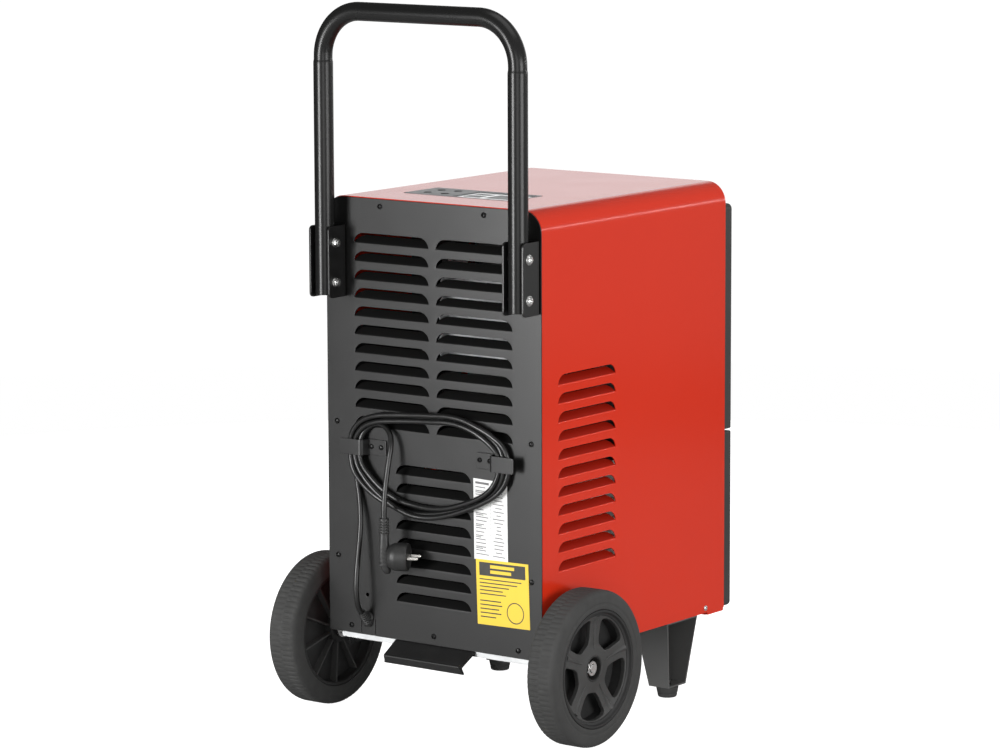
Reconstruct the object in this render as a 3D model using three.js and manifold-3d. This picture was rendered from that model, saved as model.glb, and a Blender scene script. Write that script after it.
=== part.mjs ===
// Commercial dehumidifier on two wheels: folded sheet-metal casing, louvred back, push handle, slide-out water tank.
// Millimetres. +Z up, the louvred back faces +Y, the front with the tank faces -Y. Origin: bottom centre of the bounding box.
import * as THREE from "three";
import { mergeVertices } from "three/addons/utils/BufferGeometryUtils.js";
import Module from "manifold-3d";

const wasm = await Module();
wasm.setup();

// ---- driving dimensions ----
const SIDE = 170.7; // half width of the casing
const FRONT = -225.9, BACK = 185.1; // front edge of the casing, outer face of the rear panel
const LOW = 109, HIGH = 678; // bottom edge and top of the casing
const BEND = 28; // bend radius of the casing's top edges
const SHEET = 1.5;
const WHEEL_R = 100, WHEEL_IN = 185.7, WHEEL_OUT = 229.1, AXLE_Y = 143.5;
const RIM_R = 75;
const AXLE_R = 6;
const TUBE_R = 12.7, TUBE_X = 153.3, TUBE_Y = 209.1, TUBE_TOP = 916, TUBE_LOW = 553, TUBE_BEND = 59;
const FRONT_FACE = -243.5; // front of the plastic front panels
const SPLIT = 346; // height of the grip gap between the two front panels
const LOUVRE_H = 14, LOUVRE_PITCH = 23.65;
const FAN_R = 120, FAN_Z = 505;
const TANK_X = 150, TANK_BACK = -50, TANK_TOP = 330;
const CORD_R = 3.5;
const HOOK_OFF = 15.5; // stand-off of the cord hooks' tabs

// ---- colours ----
const RED = 0xc83a2c, GREY = 0x55554f, BLACK = 0x262624, ZINC = 0xc9cccb, STEEL = 0xd8d8d6, RUBBER = 0x4a4a48, COPPER = 0xb87040, ALU = 0xc4c8ca, WHITE = 0xe8e8e4;

const object = new THREE.Group();

// ---- helpers: closed geometries from three.js, joined and cut as solids ----
function solid(geometry) {
  let g = geometry.clone();
  g.deleteAttribute("normal");
  if (g.getAttribute("uv")) g.deleteAttribute("uv");
  g = mergeVertices(g, 1e-4);
  return new wasm.Manifold(new wasm.Mesh({ numProp: 3, vertProperties: new Float32Array(g.attributes.position.array), triVerts: new Uint32Array(g.index.array) }));
}
function geometryOf(s) {
  const m = s.getMesh(), n = m.numProp, v = new Float32Array(m.numVert * 3);
  for (let i = 0; i < m.numVert; i++) v.set(m.vertProperties.subarray(i * n, i * n + 3), i * 3);
  const g = new THREE.BufferGeometry().setAttribute("position", new THREE.BufferAttribute(v, 3)).setIndex(new THREE.BufferAttribute(new Uint32Array(m.triVerts), 1));
  g.computeVertexNormals();
  return g;
}
const join = (...s) => s.reduce((a, b) => a.add(b));
const cut = (s, ...c) => c.reduce((a, b) => a.subtract(b), s);
function put(name, shape, color, roughness = 0.5, metalness = 0) {
  const g = shape.isBufferGeometry ? shape : geometryOf(shape);
  const m = new THREE.Mesh(g, new THREE.MeshStandardMaterial({ color, roughness, metalness }));
  m.name = name;
  object.add(m);
}
const box = (x0, x1, y0, y1, z0, z1) => solid(new THREE.BoxGeometry(x1 - x0, y1 - y0, z1 - z0).translate((x0 + x1) / 2, (y0 + y1) / 2, (z0 + z1) / 2));
function cylGeometry(axis, r0, r1, from, to, a, b, seg = 16) {
  const g = new THREE.CylinderGeometry(r1, r0, to - from, seg);
  if (axis === "x") g.rotateZ(-Math.PI / 2).translate((from + to) / 2, a, b);
  else if (axis === "y") g.translate(a, (from + to) / 2, b);
  else g.rotateX(Math.PI / 2).translate(a, b, (from + to) / 2);
  return g;
}
const cyl = (...p) => solid(cylGeometry(...p));
const cone = (...p) => solid(cylGeometry(...p));
// Extrudes a polygon: plane "xz" goes along Y, "yz" along X, "xy" along Z.
function prism(plane, points, from, to, holes = []) {
  const shape = points.isShape ? points : new THREE.Shape(points.map((p) => new THREE.Vector2(...p)));
  for (const h of holes) shape.holes.push(new THREE.Path(h.map((p) => new THREE.Vector2(...p))));
  const g = new THREE.ExtrudeGeometry(shape, { depth: to - from, bevelEnabled: false, curveSegments: 5 });
  if (plane === "xz") g.rotateX(Math.PI / 2).translate(0, to, 0);
  else if (plane === "yz") g.applyMatrix4(new THREE.Matrix4().set(0, 0, 1, from, 1, 0, 0, 0, 0, 1, 0, 0, 0, 0, 0, 1));
  else g.translate(0, 0, from);
  return solid(g);
}
// A route made of chosen stations, so straight lengths take one step and bends take several.
class Route extends THREE.Curve {
  constructor(points) { super(); this.stations = points; }
  getPoint(t, target = new THREE.Vector3()) {
    const n = this.stations.length - 1, i = Math.min(n - 1, Math.floor(t * n));
    return target.lerpVectors(this.stations[i], this.stations[i + 1], t * n - i);
  }
  getSpacedPoints() { return this.stations; }
  computeFrenetFrames() {
    const p = this.stations, n = p.length, tangents = [], normals = [], binormals = [];
    for (let i = 0; i < n; i++) {
      const t = new THREE.Vector3();
      if (i > 0) t.add(p[i].clone().sub(p[i - 1]).normalize());
      if (i < n - 1) t.add(p[i + 1].clone().sub(p[i]).normalize());
      tangents.push(t.normalize());
    }
    let u = new THREE.Vector3(0, 1, 0);
    if (Math.abs(tangents[0].dot(u)) > 0.9) u = new THREE.Vector3(1, 0, 0);
    u.sub(tangents[0].clone().multiplyScalar(u.dot(tangents[0]))).normalize();
    for (let i = 0; i < n; i++) {
      u = u.clone().sub(tangents[i].clone().multiplyScalar(u.dot(tangents[i]))).normalize();
      normals.push(u);
      binormals.push(new THREE.Vector3().crossVectors(tangents[i], u));
    }
    return { tangents, normals, binormals };
  }
}
function tube(points, r, sides = 8, inner = 0) {
  const route = new Route(points.map((p) => (p.isVector3 ? p : new THREE.Vector3(...p))));
  const ring = (q) => Array.from({ length: sides }, (_, i) => new THREE.Vector2(q * Math.cos((i * 2 * Math.PI) / sides), q * Math.sin((i * 2 * Math.PI) / sides)));
  const shape = new THREE.Shape(ring(r));
  if (inner) shape.holes.push(new THREE.Path(ring(inner)));
  return solid(new THREE.ExtrudeGeometry(shape, { steps: points.length - 1, extrudePath: route, bevelEnabled: false }));
}
// A smooth cord route through control points, sampled every few diameters.
function smooth(points, n) {
  return new THREE.CatmullRomCurve3(points.map((p) => new THREE.Vector3(...p)), false, "centripetal").getSpacedPoints(n);
}
const arc = (cx, cz, r, a0, a1, n) => Array.from({ length: n + 1 }, (_, i) => { const a = ((a0 + ((a1 - a0) * i) / n) * Math.PI) / 180; return [cx + r * Math.cos(a), cz + r * Math.sin(a)]; });
// A solid of revolution about X, from (x, radius) pairs that close on themselves.
function turned(profile, seg, y, z) {
  const pts = profile.map(([x, r]) => new THREE.Vector2(r, x));
  pts.push(pts[0].clone());
  const g = new THREE.LatheGeometry(pts, seg);
  g.rotateZ(-Math.PI / 2).translate(0, y, z);
  const s = solid(g);
  return s;
}
// A block with a different rectangle at its bottom and its top.
function taper(b, t, z0, z1) {
  const g = new THREE.BoxGeometry(1, 1, 1), p = g.attributes.position;
  for (let i = 0; i < p.count; i++) {
    const q = p.getZ(i) > 0 ? t : b;
    p.setXYZ(i, p.getX(i) > 0 ? q[1] : q[0], p.getY(i) > 0 ? q[3] : q[2], p.getZ(i) > 0 ? z1 : z0);
  }
  return solid(g);
}
const both = (s) => s.add(s.mirror([1, 0, 0]));
const flip = (s) => s.mirror([1, 0, 0]);

// ---- casing: one sheet folded as an inverted U, louvred at both sides, open at the front, back and below ----
const hoop = (w, top, low, r, n = 5) => [[-w, low], ...arc(-w + r, top - r, r, 180, 90, n), ...arc(w - r, top - r, r, 90, 0, n), [w, low]];
const hoopRev = (...p) => hoop(...p).reverse();
// A louvre opening: straight bottom, rounded upper corners.
const slot = (a, b, z) => [[a, z], [b, z], [b - 1, z + 6], [b - 8, z + LOUVRE_H], [a + 8, z + LOUVRE_H], [a + 1, z + 6]];
{
  let s = cut(prism("xz", hoopRev(SIDE, HIGH, LOW, BEND), FRONT, BACK - SHEET - 0.3), prism("xz", hoopRev(SIDE - SHEET, HIGH - SHEET, LOW - 5, BEND - SHEET), FRONT - 5, BACK + 5));
  for (let i = 0; i < 11; i++) {
    const c = prism("yz", slot(24.5, 149.5, 455 - 23.74 * i), 160, 180);
    s = cut(s, c, flip(c));
  }
  s = cut(s, box(-72.5, 99.5, 43, 118, 660, 690));
  // bottom front lip that closes the casing under the tank, hemmed to both sides
  s = join(s, box(-165, 165, -241, -186, 105.2, 106.9), box(163.4, SIDE, FRONT, -186, 105.2, 112), box(-SIDE, -163.4, FRONT, -186, 105.2, 112));
  put("casing_shell", s, RED, 0.35);
}
// ---- rear panel: flat sheet with two columns of louvres above and one below ----
{
  const holes = [];
  for (let i = 0; i < 11; i++) {
    const z = 618 - LOUVRE_PITCH * i;
    holes.push(slot(5.5, 125.5, z), slot(-126, -6, z));
  }
  for (let i = 0; i < 8; i++) holes.push(slot(-60, 59, 324.2 - 23.68 * i));
  let s = prism("xz", hoopRev(SIDE, HIGH - 1, LOW, BEND - 0.5), BACK - SHEET, BACK);
  for (const h of holes) s = cut(s, prism("xz", h, BACK - 10, BACK + 10));
  s = cut(s, cyl("y", 2.6, 2.6, 180, 190, 107.9, 162, 10), cyl("y", 6.4, 6.4, 180, 190, 106.5, 132, 16));
  put("rear_panel", s, GREY, 0.5, 0.3);
}
// ---- front: bulkhead inside the casing, intake grille above, tank front below ----
{
  let s = prism("xz", hoopRev(SIDE - 1.9, HIGH - 1.9, 112.6, BEND - 1.9), -225.6, -224.1);
  s = cut(s, box(-152, 152, -230, -220, 100, 338), box(-145, 145, -230, -220, 362, 640));
  put("front_bulkhead", s, RED, 0.4);
}
{
  let s = prism("yz", [[-226.2, SPLIT + 2], [-229, SPLIT + 2], [FRONT_FACE, SPLIT + 10], [FRONT_FACE, 641], [-240, 647], [-236, 648], [-226.2, 648]], -169, 169);
  s = cut(s, box(-162, 162, -240.5, -220, SPLIT + 14, 641));
  for (let i = 0; i < 15; i++) s = cut(s, box(-140, 140, -250, -230, 372 + 17 * i, 381 + 17 * i));
  put("front_grille", s, BLACK, 0.6);
}
{
  let s = prism("yz", [[-226.2, 108.6], [-226.2, SPLIT - 2], [-229, SPLIT - 2], [FRONT_FACE, SPLIT - 10], [FRONT_FACE, 114], [-242, 110.2], [-238.5, 108.6]].reverse(), -169, 169);
  s = cut(s, box(-163, 163, -240, -220, 116, SPLIT - 12.5));
  put("tank_front", s, BLACK, 0.6);
}
put("air_filter", (() => {
  let s = box(-150, 150, -222.5, -214.5, 358, 644);
  for (let i = 0; i < 3; i++) for (let k = 0; k < 2; k++) s = cut(s, box(-142 + 96 * i, -50 + 96 * i, -224, -218, 366 + 137 * k, 499 + 137 * k));
  return s;
})(), 0x8a8f92, 0.9);

// ---- base pan: galvanised deck with a turned-down rear and side flange ----
{
  let s = box(-168.9, 168.9, -185.5, 183.0, 108.9, 110.4);
  s = join(s, cut(box(-150, 150, -184, 181.2, 102, 109.5), box(-148.5, 148.5, -182.5, 179.7, 100, 109)));
  s = join(s, box(-168.9, 168.9, 181.5, 183, 110, 121)); // upstand behind the rear panel
  s = cut(s, box(-152, 152, AXLE_Y - 9, AXLE_Y + 9, 100, 108.8));
  put("base_pan", s, ZINC, 0.35, 0.8);
}
// ---- divider shelf over the tank and the compressor bay ----
put("divider_shelf", cut(box(-168.9, 168.9, -223.5, 182.5, 340, 341.5), box(134, 166, -42, -4, 330, 350), box(-30, 0, -190, -170, 330, 350)), ZINC, 0.4, 0.8);
// drip tray under the evaporator, with a spout over the tank
{
  let s = cut(box(-148, 148, -205, -72, 341.8, 355), box(-146, 146, -203, -74, 343.8, 360));
  s = join(s, cyl("z", 7, 7, 334, 344, -15, -180, 12));
  s = cut(s, cyl("z", 4.5, 4.5, 330, 360, -15, -180, 12));
  put("drip_tray", s, BLACK, 0.6);
}
// ---- finned coils ----
function coil(name, y0, y1, color) {
  let s = join(box(-134, 134, y0 + 2, y1 - 2, 364, 634), box(-136, -133, y0, y1, 358, 640), box(133, 136, y0, y1, 358, 640));
  for (let i = 0; i < 4; i++) {
    const z = 393 + 62 * i, y = (y0 + y1) / 2;
    s = join(s, tube([[-134, y, z], [-141, y, z], [-147, y, z + 7], [-147, y, z + 19], [-141, y, z + 26], [-134, y, z + 26]], 4.2, 6));
  }
  put(name, s, color, 0.5, 0.6);
}
coil("evaporator_coil", -195, -150, ALU);
coil("condenser_coil", -130, -85, ALU);
// ---- fan: shroud with its motor spider, motor, wheel ----
{
  const ring = (r0, r1, a, b, seg) => cut(cyl("y", r1, r1, a, b, 0, FAN_Z, seg), cyl("y", r0, r0, a - 1, b + 1, 0, FAN_Z, seg));
  let s = prism("xz", [[-168.3, 342], [168.3, 342], [168.3, 645], [140, 673], [-140, 673], [-168.3, 645]], 8, 9.5);
  s = join(s, cyl("y", 126.5, 126.5, 8.5, 52, 0, FAN_Z, 32));
  s = cut(s, cyl("y", 124.5, 124.5, 0, 60, 0, FAN_Z, 32));
  const arm = box(44.5, 125.8, 47, 51, FAN_Z - 5, FAN_Z + 5);
  for (let i = 0; i < 4; i++) {
    const a = ((45 + 90 * i) * Math.PI) / 180, c = Math.cos(a), d = Math.sin(a);
    // turned about the fan's own axis
    s = join(s, arm.translate([0, 0, -FAN_Z]).transform([c, 0, d, 0, 0, 1, 0, 0, -d, 0, c, 0, 0, 0, 0, 1]).translate([0, 0, FAN_Z]));
  }
  s = join(s, ring(43.6, 46.5, 47, 62, 20));
  put("fan_shroud", s, BLACK, 0.6);
  put("fan_motor", join(cyl("y", 42.5, 42.5, 52.5, 108, 0, FAN_Z, 24), cyl("y", 34, 30, 107, 114, 0, FAN_Z, 16), cyl("y", 12, 12, 46, 53, 0, FAN_Z, 12), cyl("y", 4, 4, 14, 47, 0, FAN_Z, 10)), 0x3a3c3e, 0.5, 0.4);
  let w = cyl("y", 26, 26, 15, 41, 0, FAN_Z, 20);
  for (let i = 0; i < 5; i++) {
    const blade = new THREE.BoxGeometry(96, 2.5, 62, 2, 1, 1);
    const p = blade.attributes.position;
    for (let k = 0; k < p.count; k++) { // twist: steep at the hub, flat at the tip
      const x = p.getX(k), a = 0.62 - 0.25 * ((x + 48) / 96), y = p.getY(k), z = p.getZ(k) * (0.75 + 0.25 * ((x + 48) / 96));
      p.setXYZ(k, x, y * Math.cos(a) - z * Math.sin(a), y * Math.sin(a) + z * Math.cos(a));
    }
    blade.translate(69.5, 28, 0).rotateY((i * 2 * Math.PI) / 5).translate(0, 0, FAN_Z);
    w = join(w, solid(blade));
  }
  w = w.intersect(cyl("y", FAN_R, FAN_R, 5, 45, 0, FAN_Z, 40));
  w = cut(w, cyl("y", 4.4, 4.4, 0, 60, 0, FAN_Z, 12));
  put("fan_wheel", w, 0x303234, 0.5);
}
// ---- refrigeration: compressor on its rubber mount, pipes, filter drier ----
const CX = 45, CY = 95;
{
  const prof = [[0, 128], [52, 128], [58, 136], [58, 287], [54, 300], [34, 313], [0, 317]].map((p) => new THREE.Vector2(...p));
  let s = solid(new THREE.LatheGeometry(prof, 22).rotateX(Math.PI / 2).translate(CX, CY, 0));
  s = join(s, box(CX - 66, CX + 66, CY - 22, CY + 22, 124.5, 129), box(CX - 90, CX - 50, CY - 20, CY + 20, 205, 255));
  put("compressor", s, 0x1c1c1c, 0.4, 0.3);
  put("compressor_mount", join(box(CX - 66, CX + 66, CY - 22, CY + 22, 120, 124.2), cyl("z", 12, 10, 110.7, 121, CX - 52, CY, 14), cyl("z", 12, 10, 110.7, 121, CX + 52, CY, 14)), 0x222222, 0.9);
  put("suction_pipe", tube(smooth([[CX + 58.5, CY - 20, 235], [122, 66, 236], [132, 40, 246], [139, -8, 290], [145, -27, 345], [150, -30, 420], [150, -30, 560], [150, -60, 595], [150, -140, 606], [147, -168, 608], [142, -173, 608]], 22).concat([new THREE.Vector3(138.8, -173, 608), new THREE.Vector3(136.4, -173, 608)]), 4.8, 6), COPPER, 0.35, 0.9);
  put("discharge_pipe", tube(smooth([[CX + 43, CY - 43, 270], [105, 34, 270], [125, 20, 280], [150, 2, 300], [158, -10, 345], [159.5, -12, 420], [159.5, -20, 560], [158, -75, 622], [150, -102, 625], [143, -108, 625]], 22).concat([new THREE.Vector3(139.5, -108, 625), new THREE.Vector3(136.4, -108, 625)]), 3.2, 6), COPPER, 0.35, 0.9);
  const line = tube(smooth([[136.4, -108, 380], [146, -108, 380], [151, -114, 380], [151, -140, 380], [151, -166, 380], [146, -172, 380], [136.4, -172, 380]], 16), 2.6, 6);
  put("filter_drier", join(line, cyl("y", 9, 9, -156, -124, 151, 380, 14)), COPPER, 0.35, 0.9);
}
// ---- water tank with its float, float switch behind it ----
{
  let s = cut(box(-TANK_X, TANK_X, -225.9, TANK_BACK, 113.5, TANK_TOP), box(-TANK_X + 3, TANK_X - 3, -222.9, TANK_BACK - 3, 116.5, TANK_TOP + 10));
  s = cut(s, box(-60, 60, -230, -218, 296, 340)); // pouring lip at the front wall
  // two lugs and the pin that the float's arm turns on
  s = join(s, box(95.5, 98.5, -66, TANK_BACK - 2, 297, 309), box(125.5, 128.5, -66, TANK_BACK - 2, 297, 309), cyl("x", 1.8, 1.8, 97, 127, -61, 303, 8));
  put("water_tank", s, WHITE, 0.4);
  // float on an arm, hinged in two lugs of the tank's rear corner
  put("tank_float", cut(join(cyl("x", 17, 17, 92, 132, -120, 290, 16), box(108, 116, -120, -63, 300, 306), cyl("x", 5, 5, 100, 124, -61, 303, 12)), cyl("x", 2.4, 2.4, 95, 130, -61, 303, 8)), 0xe0a040, 0.5);
  put("float_switch", join(box(98, 126, -49.4, -37, 292, 318), cyl("z", 2.5, 2.5, 286, 293, 112, -43, 8)), 0x2a2a2a, 0.5);
}
// ---- electrics under the control panel ----
{
  let s = cut(box(-78, 105, 38, 123, 638, 669), box(-76, 103, 40, 121, 640, 680));
  s = cut(s, box(10, 30, 118, 126, 645, 655));
  put("electrical_box", s, ZINC, 0.4, 0.8);
  put("control_board", join(box(-70, 97, 45, 116, 650, 651.6), box(-60, 10, 60, 105, 651, 656), cyl("z", 7, 7, 651, 668, 85, 52, 12)), 0x2e6b3c, 0.6);
  const keys = [[75, 95.5], [75, 65.5], [47, 95.5], [50, 63.5]];
  let b = box(-72.2, 99.2, 43.3, 117.7, 671.5, 677.2);
  b = cut(b, box(-68.5, 22.5, 53, 114, 673.5, 680), box(-60, 14, 60, 107, 660, 680));
  for (const [x, y] of keys) b = cut(b, cyl("z", 5.6, 5.6, 660, 690, x, y, 12));
  put("control_bezel", b, 0x6d7173, 0.55);
  put("lcd_window", box(-68.2, 22.2, 53.3, 113.7, 673.8, 676.9), 0xb9c4c0, 0.15);
  keys.forEach(([x, y], i) => put("button_" + (i + 1), join(cyl("z", 5.1, 5.1, 669.5, 678.3, x, y, 12), cyl("z", 6.4, 6.4, 667.8, 669.9, x, y, 12)), 0x3a3c3e, 0.6));
}
// ---- push handle ----
{
  const side = (k) => [[k * TUBE_X, TUBE_Y, TUBE_LOW]];
  const left = arc(-TUBE_X + TUBE_BEND, TUBE_TOP - TUBE_BEND, TUBE_BEND, 180, 90, 6).map(([x, z]) => [x, TUBE_Y, z]);
  const right = arc(TUBE_X - TUBE_BEND, TUBE_TOP - TUBE_BEND, TUBE_BEND, 90, 0, 6).map(([x, z]) => [x, TUBE_Y, z]);
  let s = tube([...side(-1), ...left, ...right, ...side(1)], TUBE_R, 14, TUBE_R - 1.5);
  for (const z of [569, 620]) s = cut(s, cyl("x", 3.5, 3.5, -180, -130, TUBE_Y, z, 8), cyl("x", 3.5, 3.5, 130, 180, TUBE_Y, z, 8));
  put("handle_tube", s, 0x1a1a19, 0.25);
  // channel brackets, open to the back
  let c = cut(box(137, 169.7, BACK + 0.3, 221.5, 549, 641), box(139.8, 166.9, BACK + 3.1, 230, 540, 650));
  c = cut(c, prism("yz", [[216.5, 641.2], [221.7, 636], [221.7, 641.2]], 130, 180), prism("yz", [[216.5, 548.8], [221.7, 548.8], [221.7, 554]], 130, 180));
  for (const z of [569, 620]) c = cut(c, cyl("x", 3.5, 3.5, 130, 180, TUBE_Y, z, 8));
  put("handle_bracket_left", c, GREY, 0.5, 0.3);
  put("handle_bracket_right", flip(c), GREY, 0.5, 0.3);
  // M6 bolt with its nut run on, heads outward
  for (const [n, z] of [["lower", 569], ["upper", 620]]) {
    const b = join(cyl("x", 3, 3, 129.5, 171, TUBE_Y, z, 8), cyl("x", 5.6, 4.2, 170, 173.8, TUBE_Y, z, 12), cyl("x", 5.77, 5.77, 131.7, 136.7, TUBE_Y, z, 6));
    put("handle_bolt_left_" + n, b, STEEL, 0.25, 0.9);
    put("handle_bolt_right_" + n, flip(b), STEEL, 0.25, 0.9);
  }
}
// ---- wheels, axle ----
{
  const rim = [[187.5, 66], [187.5, RIM_R], [226.5, RIM_R], [223, 66], [219, 31], [222.5, 16.75], [206.5, 16.75], [206.5, 6.5], [187, 6.5], [187, 18], [206, 22], [213, 66]];
  let s = turned(rim, 30, AXLE_Y, 100);
  for (let i = 0; i < 5; i++) {
    const a0 = ((50 + 72 * i) * Math.PI) / 180;
    const pts = [[34, 8], [60, 23.5], [64.6, 8], [64.6, -8], [60, -23.5], [34, -8]];
    const q = pts.map(([r, t]) => [r * Math.cos(a0) - t * Math.sin(a0), r * Math.sin(a0) + t * Math.cos(a0)]);
    s = cut(s, prism("yz", q.map(([u, v]) => [AXLE_Y - u, 100 + v]).reverse(), 195, 235));
  }
  put("wheel_rim_left", s, 0x3b3b3a, 0.6);
  put("wheel_rim_right", flip(s), 0x3b3b3a, 0.6);
  const tyre = [[186.6, RIM_R + 0.9], [185.7, 82], [187, 95.5], [192.5, WHEEL_R], [222.3, WHEEL_R], [227.8, 95.5], [WHEEL_OUT, 82], [228.2, RIM_R + 0.9]];
  const t = turned(tyre, 36, AXLE_Y, 100);
  put("tyre_left", t, RUBBER, 0.85);
  put("tyre_right", flip(t), RUBBER, 0.85);
  put("axle", join(cyl("x", AXLE_R, AXLE_R, -220.5, 220.5, AXLE_Y, 100, 16), cyl("x", 10.5, 10.5, 181.8, 184.6, AXLE_Y, 100, 14), cyl("x", 10.5, 10.5, -184.6, -181.8, AXLE_Y, 100, 14)), STEEL, 0.3, 0.9);
  const nut = cut(join(cyl("x", 10.97, 10.97, 209.5, 219, AXLE_Y, 100, 6), cyl("x", 12.5, 12.5, 207.3, 209.6, AXLE_Y, 100, 16)), cyl("x", AXLE_R + 0.35, AXLE_R + 0.35, 200, 230, AXLE_Y, 100, 16));
  put("axle_nut_left", nut, STEEL, 0.25, 0.9);
  put("axle_nut_right", flip(nut), STEEL, 0.25, 0.9);
  let k = join(box(152.5, 155.5, 122, 165, 88, 108.6), box(152.5, 168, 122, 165, 106.6, 108.6));
  k = cut(k, cyl("x", AXLE_R + 0.35, AXLE_R + 0.35, 150, 160, AXLE_Y, 100, 16));
  put("axle_bracket_left", k, ZINC, 0.4, 0.8);
  put("axle_bracket_right", flip(k), ZINC, 0.4, 0.8);
}
// ---- front legs with rubber feet ----
{
  let s = taper([118.8, 150, -166.5, -126], [96.5, 150, -193.5, -123], 14, 101.7);
  s = cut(s, taper([121, 152, -164.3, -128.2], [98.7, 152, -191.3, -125.2], 16.2, 99.5));
  put("front_leg_left", s, GREY, 0.5, 0.3);
  put("front_leg_right", flip(s), GREY, 0.5, 0.3);
  const f = cone("z", 12.5, 15, 0, 13.7, 138, -141, 24);
  put("foot_left", f, 0x4b4b49, 0.9);
  put("foot_right", flip(f), 0x4b4b49, 0.9);
}
// ---- tread plate for tilting, cord hooks ----
{
  const prof = [[181.6, 102], [183.6, 102], [183.6, 104.2], [209.2, 91.3], [205.2, 83.4], [207.4, 82.6], [212.2, 92.6], [184.6, 107.6], [183.4, 108.5], [181.6, 108.5]];
  put("tread_plate", prism("yz", prof, -63.5, 63.5), 0x242424, 0.5, 0.2);
  const y = BACK;
  const hook = (a, b, c, d) => [[a, y + 0.3], [b, y + 0.3], [c, y + HOOK_OFF - 2], [d, y + HOOK_OFF - 2], [d, y + HOOK_OFF], [c - 1.2, y + HOOK_OFF], [b - 1.4, y + 2.3], [a, y + 2.3]];
  const l = prism("xy", hook(73.8, 102.4, 106.5, 139.9), 346.5, 367);
  const r = flip(prism("xy", hook(70.6, 98, 102.6, 138), 346.5, 367));
  put("cord_hook_left", l, GREY, 0.5, 0.3);
  put("cord_hook_right", r, GREY, 0.5, 0.3);
}
// ---- power cord: gland, free lead, coil round the hooks, tail and plug ----
{
  // gland: a round flange on the panel and a short nose tilted up, so that the lead leaves at 45 degrees
  let nose = cone("y", 8, 5.2, -9, 15, 0, 0, 16).rotate([45, 0, 0]).translate([106.5, 187.5, 129.5]);
  nose = cut(nose, box(90, 125, 160, BACK + 0.35, 100, 160));
  put("cord_gland", join(nose, cyl("y", 5.9, 5.9, 178.5, 189, 106.5, 132, 14), cyl("y", 8, 8, 180.4, 183.1, 106.5, 132, 14)), BLACK, 0.7);
  const lead = smooth([[106.5, 198.6, 140.6], [106.5, 201.2, 143.2], [106.4, 206.6, 151], [106.3, 209.3, 162], [106.6, 209.8, 174], [107, 208.4, 191], [107.6, 204.6, 212.5], [108, 200.6, 234], [108.8, 197.4, 255], [111.5, 194.4, 278], [115.5, 192.4, 296], [120, 192, 311]], 12);
  put("cord_lead", tube(lead, CORD_R, 10), BLACK, 0.6);
  // the coil: centreline round both hooks, and half the width of its turns
  const wind = [[118.2, 346, 6.5], [118.5, 360, 6.5], [115.8, 373.5, 6.2], [103.5, 388, 5.2], [82, 396, 4.3], [55, 399.5, 4.2], [25, 402, 4.2], [-5, 404, 4.2], [-30, 405.3, 4.2], [-52, 403.3, 4.2], [-74, 397, 4.5], [-97.5, 385.5, 5.4], [-111.5, 374, 6.1], [-116.3, 360, 6.5], [-116.3, 346, 6.5], [-111.5, 332, 6.4], [-101.5, 319, 5.9], [-84, 307.5, 5], [-60, 297, 4.2], [-30, 286.5, 4.2], [0, 280, 4.2], [28, 278.3, 4.2], [55, 282.5, 4.2], [80, 293.5, 4.5], [101, 311, 5.5], [114, 330, 6.3]];
  const side = (k) => wind.map(([x, z, h], i) => {
    const p = wind[(i + wind.length - 1) % wind.length], q = wind[(i + 1) % wind.length];
    const l = Math.hypot(q[0] - p[0], q[1] - p[1]);
    return [x + (k * (h + 3.6) * (p[1] - q[1])) / l, z + (k * (h + 3.6) * (q[0] - p[0])) / l];
  });
  put("cord_coil", cut(prism("xz", side(-1), BACK + 0.5, BACK + 13.2), prism("xz", side(1), BACK - 5, BACK + 20)), BLACK, 0.6);
  const tail = smooth([[71, 192, 385.5], [65, 196.5, 377], [59.5, 201, 365], [57, 205, 350], [56.2, 209, 331], [56, 212.5, 312], [55.4, 215.2, 294], [55, 216.5, 280], [55, 216.5, 273.3]], 9);
  put("cord_tail", tube(tail, CORD_R, 10), BLACK, 0.6);
  // angled earthed plug, hanging by its cord
  const px = 55, py = 216.5, pz = 223.5, t = (25 * Math.PI) / 180;
  const turn = (s) => s.transform([Math.cos(t), Math.sin(t), 0, 0, -Math.sin(t), Math.cos(t), 0, 0, 0, 0, 1, 0, px, py, 0, 1]);
  let p = join(
    cyl("x", 18.2, 18.2, -28, -5, 0, pz, 24),
    box(-7, 6, -7, 7, 204, 252.5),
    cone("z", 6.2, 4.6, 252, 272.6, 0, 0, 14),
    cyl("x", 2.4, 2.4, -46.5, -27, 9.5, pz, 10), cyl("x", 2.4, 2.4, -46.5, -27, -9.5, pz, 10),
  );
  put("power_plug", turn(p), BLACK, 0.6);
}

export default object;
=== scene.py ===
# Commercial dehumidifier on two wheels: looks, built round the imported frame. Row frame, geometry helpers in millimetres.
import math
import random
import bpy
import bmesh
from mathutils import Vector, Matrix
from mathutils.geometry import tessellate_polygon


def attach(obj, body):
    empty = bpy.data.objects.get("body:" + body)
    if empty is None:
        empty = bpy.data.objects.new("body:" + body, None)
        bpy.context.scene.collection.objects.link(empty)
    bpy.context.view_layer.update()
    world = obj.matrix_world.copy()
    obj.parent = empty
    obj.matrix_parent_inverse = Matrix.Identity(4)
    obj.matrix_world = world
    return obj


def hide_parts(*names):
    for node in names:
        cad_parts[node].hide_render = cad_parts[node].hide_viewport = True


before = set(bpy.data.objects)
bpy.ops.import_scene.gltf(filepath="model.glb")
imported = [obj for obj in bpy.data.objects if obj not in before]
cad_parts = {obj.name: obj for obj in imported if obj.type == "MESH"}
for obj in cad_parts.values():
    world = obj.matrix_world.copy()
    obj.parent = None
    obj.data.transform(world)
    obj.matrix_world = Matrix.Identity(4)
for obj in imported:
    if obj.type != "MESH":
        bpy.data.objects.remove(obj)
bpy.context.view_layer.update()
scene = bpy.context.scene
MM = 0.001
rnd = random.Random(11)
rad = math.radians
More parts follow.
